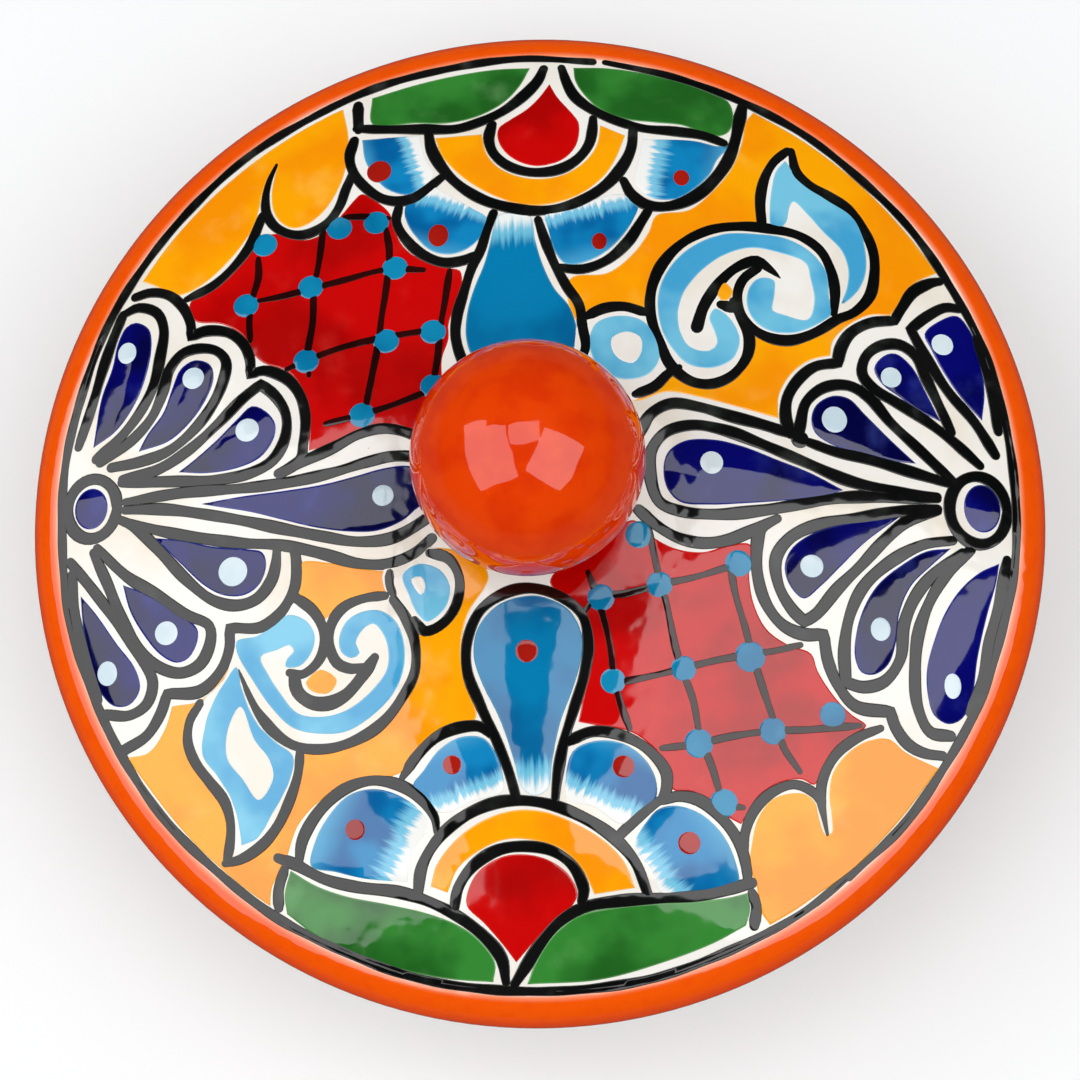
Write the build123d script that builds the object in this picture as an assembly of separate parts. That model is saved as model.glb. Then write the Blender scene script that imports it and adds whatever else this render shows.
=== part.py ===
from build123d import *
import math
import os

# A round glazed tortilla warmer: a shallow dish on a foot ring, and a domed
# lid with a ball knob that lifts straight off. Every piece is turned about Z.
# Lengths are in millimetres. The origin is the middle of the foot's plane.

# The radius that drives both the lid and the dish under it
LID_RADIUS = 125.0  # at the widest line of the lid's rim

# Sizes of the dish
SEAT_HEIGHT = 52.0  # where the lid rests on the rim, above the table
RIM_SETBACK = 1.5  # the dish's rim stands back from the lid's widest line
RIM_OVERHANG = 5.5  # how far the rim's coil stands out of the wall
RIM_HEIGHT = 12.0
RIM_ROUND_OVER = 4.5
RIM_INNER_EASE = 1.5
WALL_THICKNESS = 7.0
WALL_LEAN = 7.0  # how much wider the wall is at the rim than at the floor
WALL_BEND_RADIUS = 16.0  # the round turn from floor to wall, outside
LEAST_INNER_BEND = 4.0  # the same turn inside, where the wall is thick
FLOOR_THICKNESS = 7.0
FOOT_HEIGHT = 6.0
FOOT_INSET = 2.0  # from the edge of the floor's flat underside to the foot
FOOT_WIDTH = 9.0  # of the ring where it meets the floor
FOOT_TAPER = 1.5  # the ring narrows by this much on each side

# Sizes of the lid
LID_THICKNESS = 7.0
LID_ROUND_UNDER = 5.0  # from the seat out to the widest line of the rim
LID_ROUND_OVER = 8.5  # from that line up to the edge of the painted field
DOME_RISE = 20.0  # from the edge of the painted field to the crown
COLLAR_CLEARANCE = 2.0  # all round, inside the dish's mouth
COLLAR_WIDTH = 6.0
COLLAR_DEPTH = 9.0  # below the seat
COLLAR_EASE = 2.0

# Sizes of the knob
BALL_RADIUS = 26.7
BALL_WALL = 5.5
BALL_GAP = 4.5  # from the crown up to the lowest point of the ball
NECK_RADIUS = 13.0  # where it meets the ball
NECK_FLARE = 4.5  # how much wider the neck is at its foot
VENT_RADIUS = 1.5  # lets air out of the hollow ball during firing

# The most of a wall or a height that one rounded edge may take
EDGE_SHARE = 0.45

# Heights that follow from those sizes
floor_height = FOOT_HEIGHT + FLOOR_THICKNESS
wall_top_height = SEAT_HEIGHT - RIM_HEIGHT
widest_height = SEAT_HEIGHT + LID_ROUND_UNDER
field_height = widest_height + LID_ROUND_OVER
crown_height = field_height + DOME_RISE
ball_height = crown_height + BALL_GAP + BALL_RADIUS
collar_foot_height = SEAT_HEIGHT - COLLAR_DEPTH

# Radii of the dish's coil and wall
rim_radius = LID_RADIUS - RIM_SETBACK
wall_top_radius = rim_radius - RIM_OVERHANG
wall_foot_radius = wall_top_radius - WALL_LEAN
mouth_radius = wall_top_radius - WALL_THICKNESS

# Radii of the lid's painted field and of the dome's curve
field_radius = LID_RADIUS - LID_ROUND_OVER
dome_curve_radius = (field_radius**2 + DOME_RISE**2) / (2 * DOME_RISE)


def wall_radius(height, inset=0.0):
    """Radius of the dish's leaning wall at a height, so far inside its outer side."""
    share = (height - FOOT_HEIGHT) / (wall_top_height - FOOT_HEIGHT)
    return wall_foot_radius + share * WALL_LEAN - inset


# The flat underside of the floor ends where the bend begins
wall_slope = math.atan2(wall_top_height - FOOT_HEIGHT, WALL_LEAN)
flat_radius = wall_foot_radius - WALL_BEND_RADIUS * math.tan(wall_slope / 2)
foot_radius = flat_radius - FOOT_INSET

# The collar clears the mouth, and the wall below it where it reaches so deep
narrowest = min(mouth_radius, wall_radius(collar_foot_height, WALL_THICKNESS))
collar_radius = narrowest - COLLAR_CLEARANCE


def turned(outline):
    """The solid of revolution of a closed outline drawn as (radius, height)."""
    return revolve(Plane.XZ * make_face(outline), Axis.Z)


def eased(radius, *walls):
    """Radius of a rounded edge, kept within its share of the walls beside it."""
    return min([radius] + [EDGE_SHARE * wall for wall in walls])


def dome_height(radius, depth=0.0):
    """Height of the lid's curve at a radius, so far below its upper side."""
    curve = dome_curve_radius - depth
    return crown_height - dome_curve_radius + math.sqrt(curve**2 - radius**2)


def dish_bowl():
    """Floor and leaning wall as one shell, round where they meet."""
    outside = FilletPolyline(
        (0, FOOT_HEIGHT),
        (wall_foot_radius, FOOT_HEIGHT),
        (wall_top_radius, wall_top_height),
        radius=WALL_BEND_RADIUS,
    )
    inside = FilletPolyline(
        (0, floor_height),
        (wall_radius(floor_height, WALL_THICKNESS), floor_height),
        (mouth_radius, wall_top_height),
        radius=max(WALL_BEND_RADIUS - WALL_THICKNESS, LEAST_INNER_BEND),
    )
    lip = Line((wall_top_radius, wall_top_height), (mouth_radius, wall_top_height))
    axis = Line((0, floor_height), (0, FOOT_HEIGHT))
    return turned(outside + lip + inside + axis)


def dish_foot_ring():
    """The bare ring that the dish stands on."""
    inner = foot_radius - FOOT_WIDTH
    taper = eased(FOOT_TAPER, FOOT_WIDTH)
    return turned(
        Polyline(
            (inner, FOOT_HEIGHT),
            (inner + taper, 0),
            (foot_radius - taper, 0),
            (foot_radius, FOOT_HEIGHT),
            close=True,
        )
    )


def dish_rim():
    """The rolled coil on top of the wall, with the flat seat for the lid."""
    over = eased(RIM_ROUND_OVER, RIM_HEIGHT)
    under = eased(RIM_OVERHANG, RIM_HEIGHT)
    ease = eased(RIM_INNER_EASE, WALL_THICKNESS)
    under_start = (rim_radius - under, wall_top_height)
    under_end = (rim_radius, wall_top_height + under)
    over_start = (rim_radius, SEAT_HEIGHT - over)
    over_end = (rim_radius - over, SEAT_HEIGHT)
    ease_start = (mouth_radius + ease, SEAT_HEIGHT)
    ease_end = (mouth_radius, SEAT_HEIGHT - ease)
    return turned(
        Line((mouth_radius, wall_top_height), under_start)
        + TangentArc(under_start, under_end, tangent=(1, 0))
        + Line(under_end, over_start)
        + TangentArc(over_start, over_end, tangent=(0, 1))
        + Line(over_end, ease_start)
        + TangentArc(ease_start, ease_end, tangent=(-1, 0))
        + Line(ease_end, (mouth_radius, wall_top_height))
    )


def vent_bore():
    """The narrow air hole from under the lid up into the hollow ball."""
    low = dome_height(0, LID_THICKNESS) - VENT_RADIUS
    length = ball_height - low
    upwards = (Align.CENTER, Align.CENTER, Align.MIN)
    return Pos(0, 0, low) * Cylinder(VENT_RADIUS, length, align=upwards)


def lid_plate():
    """The domed plate of even thickness, before the air hole."""
    low_edge = (field_radius, dome_height(field_radius, LID_THICKNESS))
    high_edge = (field_radius, field_height)
    top = (0, crown_height)
    under = (0, dome_height(0, LID_THICKNESS))
    return turned(
        Line(low_edge, high_edge)
        + TangentArc(top, high_edge, tangent=(1, 0))
        + Line(top, under)
        + TangentArc(under, low_edge, tangent=(1, 0))
    )


def lid_rim():
    """The rolled coil round and under the plate's edge, flat where it rests."""
    under_start = (LID_RADIUS - LID_ROUND_UNDER, SEAT_HEIGHT)
    widest = (LID_RADIUS, widest_height)
    over_end = (field_radius, field_height)
    inner_low = (collar_radius, SEAT_HEIGHT)
    inner_high = (collar_radius, field_height)
    coil = turned(
        Line(inner_low, under_start)
        + TangentArc(under_start, widest, tangent=(1, 0))
        + TangentArc(widest, over_end, tangent=(0, 1))
        + Line(over_end, inner_high)
        + Line(inner_high, inner_low)
    )
    return coil - plate


def lid_collar():
    """The ring under the lid that drops loosely into the dish's mouth."""
    inner = collar_radius - COLLAR_WIDTH
    ease = eased(COLLAR_EASE, COLLAR_WIDTH, COLLAR_DEPTH)
    inner_side = (inner, collar_foot_height + ease)
    inner_foot = (inner + ease, collar_foot_height)
    outer_foot = (collar_radius - ease, collar_foot_height)
    outer_side = (collar_radius, collar_foot_height + ease)
    collar = turned(
        Line((inner, field_height), inner_side)
        + TangentArc(inner_side, inner_foot, tangent=(0, -1))
        + Line(inner_foot, outer_foot)
        + TangentArc(outer_foot, outer_side, tangent=(1, 0))
        + Line(outer_side, (collar_radius, field_height))
        + Line((collar_radius, field_height), (inner, field_height))
    )
    return collar - plate


def knob_ball():
    """The hollow ball, open only at its air hole."""
    hollow = Pos(0, 0, ball_height) * Sphere(BALL_RADIUS - BALL_WALL)
    return ball - hollow - vent


def knob_neck():
    """The flared neck that joins the ball to the crown of the lid."""
    flare_radius = NECK_RADIUS + NECK_FLARE
    flare = (flare_radius, dome_height(flare_radius))
    root_height = dome_height(flare_radius, LID_THICKNESS / 2)
    joint_height = ball_height - math.sqrt(BALL_RADIUS**2 - NECK_RADIUS**2)
    joint = (NECK_RADIUS, joint_height)
    neck = turned(
        Line((0, root_height), (flare_radius, root_height))
        + Line((flare_radius, root_height), flare)
        + TangentArc(joint, flare, tangent=(0, -1))
        + Line(joint, (NECK_RADIUS, ball_height))
        + Line((NECK_RADIUS, ball_height), (0, ball_height))
        + Line((0, ball_height), (0, root_height))
    )
    return neck - ball - plate - vent


# Shapes that more than one piece is cut by
plate = lid_plate()
vent = vent_bore()
ball = Pos(0, 0, ball_height) * Sphere(BALL_RADIUS)

pieces = {
    "dish_bowl": dish_bowl(),
    "dish_foot_ring": dish_foot_ring(),
    "dish_rim": dish_rim(),
    "lid_dome": plate - vent,
    "lid_rim": lid_rim(),
    "lid_collar": lid_collar(),
    "knob_neck": knob_neck(),
    "knob_ball": knob_ball(),
}

os.makedirs("parts", exist_ok=True)
for name, piece in pieces.items():
    export_step(piece, f"parts/{name}.step")
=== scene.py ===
"""A round glazed tortilla warmer: a painted domed lid with a ball knob, on a shallow dish.

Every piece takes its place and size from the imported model. Inside the script
a length is in millimetres; it becomes metres where a mesh is finished.
"""

import logging
import math
from dataclasses import dataclass, field
from enum import Enum
from typing import Callable, Iterable, Sequence

import bmesh
import bpy
from mathutils import Matrix, Vector, noise


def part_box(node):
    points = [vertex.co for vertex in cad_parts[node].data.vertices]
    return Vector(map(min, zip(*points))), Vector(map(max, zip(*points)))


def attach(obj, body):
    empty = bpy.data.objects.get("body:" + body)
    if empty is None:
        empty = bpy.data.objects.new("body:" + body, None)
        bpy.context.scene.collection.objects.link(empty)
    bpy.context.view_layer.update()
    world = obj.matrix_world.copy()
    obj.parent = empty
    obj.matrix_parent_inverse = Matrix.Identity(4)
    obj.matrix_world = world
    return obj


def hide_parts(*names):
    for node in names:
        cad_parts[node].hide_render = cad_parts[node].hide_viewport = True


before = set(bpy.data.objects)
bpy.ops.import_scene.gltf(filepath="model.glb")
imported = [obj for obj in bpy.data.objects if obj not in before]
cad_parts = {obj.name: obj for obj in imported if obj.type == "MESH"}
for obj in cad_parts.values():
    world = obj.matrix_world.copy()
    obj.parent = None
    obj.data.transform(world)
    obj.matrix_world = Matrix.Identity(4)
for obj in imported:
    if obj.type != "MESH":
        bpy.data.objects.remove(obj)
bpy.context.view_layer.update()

log = logging.getLogger("warmer")

MM = 0.001
GLAZE_IOR = 1.7
GLAZE_ROUGHNESS = (0.035, 0.09)  # at its smoothest and where it is least so
WAVE_HEIGHT = 0.7  # of the slow waves in the glaze, in millimetres
WAVES = 36.0  # of them, each metre
TURNS = 192  # facets round a turned piece
SEAM = 0.002  # the two ends of a turned surface are joined within this
CRISP = 40.0  # degrees; a turned edge that is sharper stays crisp
WAVER_SCALE = 0.02  # turns of the hand for each millimetre
WAVER_PLACE = Vector((3.1, 1.7, 0.4))  # where its noise is read

Point = tuple[float, float]
Colour = tuple[float, float, float]


class Body(Enum):
    """The two things that come apart."""

    DISH = "dish"
    LID = "lid"


class Slot(Enum):
    """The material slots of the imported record."""

    WHITE = "white_glaze"
    ORANGE = "orange_glaze"
    CLAY = "bare_clay"
    BLACK = "black_glaze"
    RED = "red_glaze"
    YELLOW = "yellow_glaze"
    GREEN = "green_glaze"
    BLUE = "blue_glaze"
    COBALT = "cobalt_glaze"


def srgb(red: int, green: int, blue: int) -> Colour:
    """Turns a colour, 0 to 255, into linear light.

    Args:
        red: The red share.
        green: The green share.
        blue: The blue share.

    Returns:
        The same colour in linear light, 0 to 1.
    """
    def linear(share: int) -> float:
        """One channel in linear light."""
        value = share / 255
        return value / 12.92 if value <= 0.04045 else ((value + 0.055) / 1.055) ** 2.4

    return linear(red), linear(green), linear(blue)


class Value:
    """A socket in a finish that can be used in arithmetic."""

    def __init__(self, recipe: "Recipe", socket: bpy.types.NodeSocket | None) -> None:
        """Wraps an output socket of the recipe's tree."""
        self.recipe = recipe
        self.socket = socket

    def _math(self, operation: str, first: "Mixable", second: "Mixable") -> "Value":
        """Adds one Math node and returns its result.

        Args:
            operation: The operation.
            first: The first value or number.
            second: The second one.

        Returns:
            The result as a value.
        """
        return self.recipe.node(
            "ShaderNodeMath", {"operation": operation}, {0: first, 1: second}
        )

    def __add__(self, other: "Mixable") -> "Value":
        """Adds."""
        return self._math("ADD", self, other)

    def __radd__(self, other: "Mixable") -> "Value":
        """Adds, the number first."""
        return self._math("ADD", other, self)

    def __sub__(self, other: "Mixable") -> "Value":
        """Subtracts."""
        return self._math("SUBTRACT", self, other)

    def __rsub__(self, other: "Mixable") -> "Value":
        """Subtracts from a number."""
        return self._math("SUBTRACT", other, self)

    def __mul__(self, other: "Mixable") -> "Value":
        """Multiplies."""
        return self._math("MULTIPLY", self, other)

    def __rmul__(self, other: "Mixable") -> "Value":
        """Multiplies, the number first."""
        return self._math("MULTIPLY", other, self)

    def step(self, low: float, high: float, start: float = 0.0, end: float = 1.0) -> "Value":
        """A soft step.

        Args:
            low: The value where the step starts.
            high: The value where it ends.
            start: The result up to low.
            end: The result from high on.

        Returns:
            The stepped value.
        """
        return self.recipe.node(
            "ShaderNodeMapRange",
            {"interpolation_type": "SMOOTHSTEP"},
            {0: self, 1: low, 2: high, 3: start, 4: end},
        )


Mixable = Value | float


class Recipe:
    """The node tree of one finish, or of the room, built up a node at a time."""

    def __init__(self, name: str, room: bool = False) -> None:
        """Starts an empty recipe.

        Args:
            name: The name of its material or world.
            room: Whether it is for the world around the scene.
        """
        self.made = (bpy.data.worlds if room else bpy.data.materials).new(name)
        self.made.use_nodes = True
        self.tree = self.made.node_tree
        self.tree.nodes.clear()

    def node(
        self,
        kind: str,
        settings: dict[str, object] | None = None,
        sockets: dict[int | str, object] | None = None,
        output: int | str = 0,
    ) -> Value:
        """Adds any node.

        Args:
            kind: The node's type.
            settings: Its own settings, which are set first.
            sockets: Values or links of its input sockets.
            output: Which output is returned.

        Returns:
            The output as a value.
        """
        node = self.tree.nodes.new(kind)
        for name, setting in (settings or {}).items():
            setattr(node, name, setting)
        for name, given in (sockets or {}).items():
            socket = node.inputs[name]
            if isinstance(given, Value):
                self.tree.links.new(given.socket, socket)
            elif isinstance(given, tuple) and socket.type == "RGBA":
                socket.default_value = (*given, 1.0)
            else:
                socket.default_value = given
        return Value(self, node.outputs[output] if node.outputs else None)

    def close(self, surface: Value) -> bpy.types.Material:
        """Makes a surface the recipe's result and returns its material."""
        self.node("ShaderNodeOutputMaterial", sockets={"Surface": surface})
        return self.made

    def place(self) -> Value:
        """The point on the piece, in metres."""
        return self.node("ShaderNodeTexCoord", output="Object")

    def strokes(self) -> Value:
        """The Brush map of a painted piece: X runs along a stroke, Y aside in millimetres."""
        return self.node("ShaderNodeUVMap", {"uv_map": "Brush"})

    def axis(self, vector: Value, name: str) -> Value:
        """One of a vector's three numbers, X, Y or Z."""
        return self.node("ShaderNodeSeparateXYZ", sockets={0: vector}, output=name)

    def radius(self) -> Value:
        """The distance from the axis that the piece is turned about, in metres.

        Returns:
            The distance.
        """
        flat = self.node(
            "ShaderNodeVectorMath",
            {"operation": "MULTIPLY"},
            {0: self.place(), 1: (1.0, 1.0, 0.0)},
        )
        return self.node("ShaderNodeVectorMath", {"operation": "LENGTH"}, {0: flat}, "Value")

    def attribute(self, name: str) -> Value:
        """A number that the mesh carries at its points."""
        return self.node("ShaderNodeAttribute", {"attribute_name": name}, output="Fac")

    def brush(self, along: float, across: float) -> Value:
        """Noise drawn out along the strokes, from the Brush map of a painted piece.

        Args:
            along: Its scale along the strokes.
            across: Its scale across the strokes, each millimetre.

        Returns:
            The noise, around 0.5.
        """
        drawn = self.node(
            "ShaderNodeVectorMath",
            {"operation": "MULTIPLY"},
            {0: self.strokes(), 1: (along, across, 1.0)},
        )
        return self.node("ShaderNodeTexNoise", None, {"Vector": drawn, "Scale": 1.0, "Detail": 3.0})

    def grain(self, scale: float, detail: float = 3.0) -> Value:
        """Noise in the space of the piece.

        Args:
            scale: Waves per metre.
            detail: Finer layers.

        Returns:
            The noise, around 0.5.
        """
        sockets = {"Vector": self.place(), "Scale": scale, "Detail": detail}
        return self.node("ShaderNodeTexNoise", None, sockets)

    def mix(self, first: Value | Colour, second: Value | Colour, share: Mixable) -> Value:
        """Mixes two colours.

        Args:
            first: The colour at share 0.
            second: The colour at share 1.
            share: How much of the second.

        Returns:
            The mixed colour.
        """
        return self.node(
            "ShaderNodeMix", {"data_type": "RGBA"}, {0: share, 6: first, 7: second}, 2
        )

    def paper(self, colour: Value | Colour, near: float, far: float, level: float) -> bpy.types.Material:
        """Finishes the recipe as matt paper that fades into the pale room.

        Args:
            colour: The paper's colour.
            near: How far from the middle it starts to fade, in metres.
            far: Where it is gone.
            level: The light of the room that the camera sees behind it.

        Returns:
            The material.
        """
        sheet = self.node("ShaderNodeBsdfPrincipled", None, {"Base Color": colour, "Roughness": 0.9})
        room = self.node("ShaderNodeEmission", None, {"Strength": level})
        seen = self.node("ShaderNodeLightPath", output="Is Camera Ray") * self.radius().step(near, far)
        return self.close(self.node("ShaderNodeMixShader", None, {0: seen, 1: sheet, 2: room}))

    def pooled(self, roundness: float) -> Value:
        """The rise of glaze that pooled along the middle of a stroke.

        Args:
            roundness: How far it falls for each square millimetre from the middle.

        Returns:
            The rise, as a share of the glaze's waves.
        """
        across = self.axis(self.strokes(), "Y")
        return across * across * (-roundness / WAVE_HEIGHT)

    def gloss(self, colour: Value | Colour, roundness: float = 0.0) -> bpy.types.Material:
        """Finishes the recipe with a smooth glaze over slow waves.

        Args:
            colour: The base colour.
            roundness: How round the glaze pooled in each stroke.

        Returns:
            The material.
        """
        roughness = self.grain(70.0).step(0.3, 0.8, *GLAZE_ROUGHNESS)
        waves = self.grain(WAVES)
        if roundness:
            waves = waves + self.pooled(roundness)
        return self.glaze(colour, roughness, waves, WAVE_HEIGHT * MM, GLAZE_IOR)

    def glaze(
        self,
        colour: Value | Colour,
        roughness: Mixable,
        bump: Value,
        height: float,
        density: float = 1.5,
    ) -> bpy.types.Material:
        """Finishes the recipe with a surface.

        Args:
            colour: The base colour.
            roughness: The roughness.
            bump: What the surface's small waves follow.
            height: How high they are, in metres.
            density: How strongly light bends in it.

        Returns:
            The material.
        """
        waves = {"Strength": 1.0, "Distance": height, "Height": bump}
        sockets = {
            "Base Color": colour,
            "Roughness": roughness,
            "IOR": density,
            "Normal": self.node("ShaderNodeBump", None, waves),
        }
        return self.close(self.node("ShaderNodeBsdfPrincipled", None, sockets))


def link(name: str, mesh: bpy.types.Mesh, body: Body) -> bpy.types.Object:
    """Puts a finished mesh in the scene as a piece that rides on a body.

    Args:
        name: The piece's name.
        mesh: Its mesh, in metres.
        body: The body it moves with.

    Returns:
        The new object.
    """
    piece = bpy.data.objects.new(name, mesh)
    bpy.context.scene.collection.objects.link(piece)
    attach(piece, body.value)
    log.info("%s: %d faces, rides on %s", name, len(mesh.polygons), body.value)
    return piece


def dress(node: str, mesh: bpy.types.Mesh, body: Body, finish: bpy.types.Material) -> None:
    """Puts a glazed piece in the place of its CAD node.

    Args:
        node: The node that it replaces.
        mesh: Its mesh, in metres, whose name it takes.
        body: The body it moves with.
        finish: Its material.
    """
    piece = link(mesh.name, mesh, body)
    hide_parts(node)
    mesh.materials.append(finish)


def finished(bm: bmesh.types.BMesh, name: str) -> bpy.types.Mesh:
    """Turns a bmesh into a mesh of that name, and frees it.

    Args:
        bm: The bmesh.
        name: The mesh's name.

    Returns:
        The mesh.
    """
    mesh = bpy.data.meshes.new(name)
    bm.to_mesh(mesh)
    bm.free()
    return mesh


def arc(middle: Point, start: float, end: float, size: Point, steps: int = 10) -> list[Point]:
    """Points along an arc of a circle or an upright oval.

    Args:
        middle: Its centre.
        start: The first angle, in degrees.
        end: The last angle.
        size: The two half widths.
        steps: How many runs it has.

    Returns:
        The points, both ends included.
    """
    points = []
    for step in range(steps + 1):
        angle = math.radians(start + (end - start) * step / steps)
        points.append((middle[0] + size[0] * math.cos(angle), middle[1] + size[1] * math.sin(angle)))
    return points


def turn(name: str, outline: Sequence[Point], waver: float = 0.0) -> bpy.types.Mesh:
    """Turns a closed outline about the upright axis, as on a wheel.

    Args:
        name: The mesh's name.
        outline: Its (radius, height) points, in millimetres.
        waver: How far the hand let the wall wander, in millimetres.

    Returns:
        The mesh, in metres, closed and smooth.
    """
    bm = bmesh.new()
    ring = [bm.verts.new((radius, 0.0, height)) for radius, height in outline]
    edges = [bm.edges.new((ring[i - 1], ring[i])) for i in range(len(ring))]
    bmesh.ops.spin(
        bm,
        geom=ring + edges,
        cent=(0, 0, 0),
        axis=(0, 0, 1),
        angle=math.tau,
        steps=TURNS,
        use_merge=True,
    )
    bmesh.ops.remove_doubles(bm, verts=bm.verts, dist=SEAM)
    if waver:
        for vertex in bm.verts:
            out = Vector((vertex.co.x, vertex.co.y, 0.0))
            if out.length > 1.0:
                drift = noise.noise(vertex.co * WAVER_SCALE + WAVER_PLACE)
                vertex.co += out.normalized() * drift * waver
    bmesh.ops.recalc_face_normals(bm, faces=bm.faces)
    bmesh.ops.scale(bm, vec=(MM, MM, MM), verts=bm.verts)
    mesh = finished(bm, name)
    mesh.polygons.foreach_set("use_smooth", [True] * len(mesh.polygons))
    mesh.set_sharp_from_angle(angle=math.radians(CRISP))
    return mesh


def half_width(node: str) -> float:
    """The radius of a turned CAD node, in millimetres."""
    low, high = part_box(node)
    return (high.x - low.x) / 2 / MM


def foot_of(node: str) -> float:
    """The lowest height of a CAD node, in millimetres."""
    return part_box(node)[0].z / MM


def top_of(node: str) -> float:
    """The highest point of a CAD node, in millimetres."""
    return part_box(node)[1].z / MM


@dataclass(frozen=True)
class OrangeGlaze:
    """Glossy orange over white: thin where it was wiped back, with a painted sheen along that edge, and
    painted shade towards the widest line and over the knob's lower part.
    """

    body: Colour = srgb(242, 86, 2)
    deep: Colour = srgb(228, 64, 0)
    # thin and wiped: the white showing through thin glaze at the rim's inner edge, with a painted sheen over
    # it
    thin: Colour = srgb(250, 146, 104)
    wiped_and_sheen: Colour = srgb(250, 226, 216)
    streak: Colour = srgb(218, 52, 0)
    # painted shade over the lower part of the knob
    foot_shade: Colour = srgb(156, 34, 0)
    wander: float = 0.002  # of its edge on the rim, in metres
    wiped_and_sheen_band: Point = (0.0008, 0.0018)  # from that edge, in metres; thin glaze under a painted sheen
    thin_and_sheen_band: Point = (0.0014, 0.003)
    shaded_band: float = 0.003  # of painted shade, darker inside the widest line where the roll turns down, in metres
    foot_shade_sway: float = 0.006  # of the painted shade's upper edge on the knob, in metres
    foot_shade_reach: float = 0.62  # the share of the knob's height that the painted shade reaches

    def rim(self, inner: float, outer: float) -> bpy.types.Material:
        """The finish of the lid's rim.

        Args:
            inner: Radius where the orange starts, in metres.
            outer: Radius of the widest line, in metres.

        Returns:
            The material.
        """
        recipe = Recipe("orange_rim")
        radius = recipe.radius() + (recipe.grain(14.0, 2.0) - 0.5) * self.wander
        streak = recipe.grain(260.0, 4.0)
        shade = recipe.mix(self.body, self.deep, streak.step(0.45, 0.7, 0.0, 0.25))
        # Painted shade: darker towards the widest line, where the roll turns down.
        shade = recipe.mix(shade, self.deep, radius.step(outer - self.shaded_band, outer) * 0.8)
        # Painted sheen: paler towards the inner edge, partly thin glaze over the white and partly a painted
        # highlight.
        for colour, (near, far) in ((self.thin, self.thin_and_sheen_band), (self.wiped_and_sheen, self.wiped_and_sheen_band)):
            shade = recipe.mix(colour, shade, radius.step(inner + near, inner + far))
        return recipe.gloss(shade)

    def knob(self, low: float, high: float) -> bpy.types.Material:
        """The finish of the knob, darker towards its foot: painted shade.

        Args:
            low: Height of the knob's foot, in metres.
            high: Height of its top, in metres.

        Returns:
            The material.
        """
        recipe = Recipe("orange_knob")
        height = recipe.axis(recipe.place(), "Z") + (recipe.grain(30.0) - 0.5) * self.foot_shade_sway
        streak = recipe.grain(110.0, 4.0)
        shade = recipe.mix(self.deep, self.streak, streak.step(0.4, 0.65))
        # Painted shade: darker over the lower part of the ball and over the neck.
        shade = recipe.mix(self.foot_shade, shade, height.step(low, low + (high - low) * self.foot_shade_reach))
        return recipe.gloss(shade)


@dataclass(frozen=True)
class WhiteGlaze:
    """Glossy warm white, a little uneven, with a few dark specks."""

    body: Colour = srgb(243, 240, 234)
    warm: Colour = srgb(235, 226, 210)
    speck: Colour = srgb(150, 130, 110)

    def finish(self, name: str) -> bpy.types.Material:
        """The finish, under a name of its own.

        Args:
            name: The name.

        Returns:
            The material.
        """
        recipe = Recipe(name)
        shade = recipe.mix(self.body, self.warm, recipe.grain(35.0, 4.0).step(0.45, 0.75))
        shade = recipe.mix(shade, self.speck, recipe.grain(700.0, 1.0).step(0.8, 0.86) * 0.5)
        return recipe.gloss(shade)


@dataclass(frozen=True)
class BareClay:
    """Unglazed fired clay."""

    body: Colour = srgb(186, 122, 82)
    dark: Colour = srgb(146, 88, 56)
    dusty: Colour = srgb(205, 150, 112)
    roughness: float = 0.78
    grit_height: float = 0.3  # in millimetres

    def finish(self) -> bpy.types.Material:
        """The finish of the foot.

        Returns:
            The material.
        """
        recipe = Recipe("bare_clay")
        grit = recipe.grain(900.0, 5.0)
        shade = recipe.mix(self.body, self.dark, grit.step(0.4, 0.7))
        shade = recipe.mix(shade, self.dusty, recipe.grain(60.0).step(0.5, 0.8))
        return recipe.glaze(shade, self.roughness, grit, self.grit_height * MM)


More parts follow.
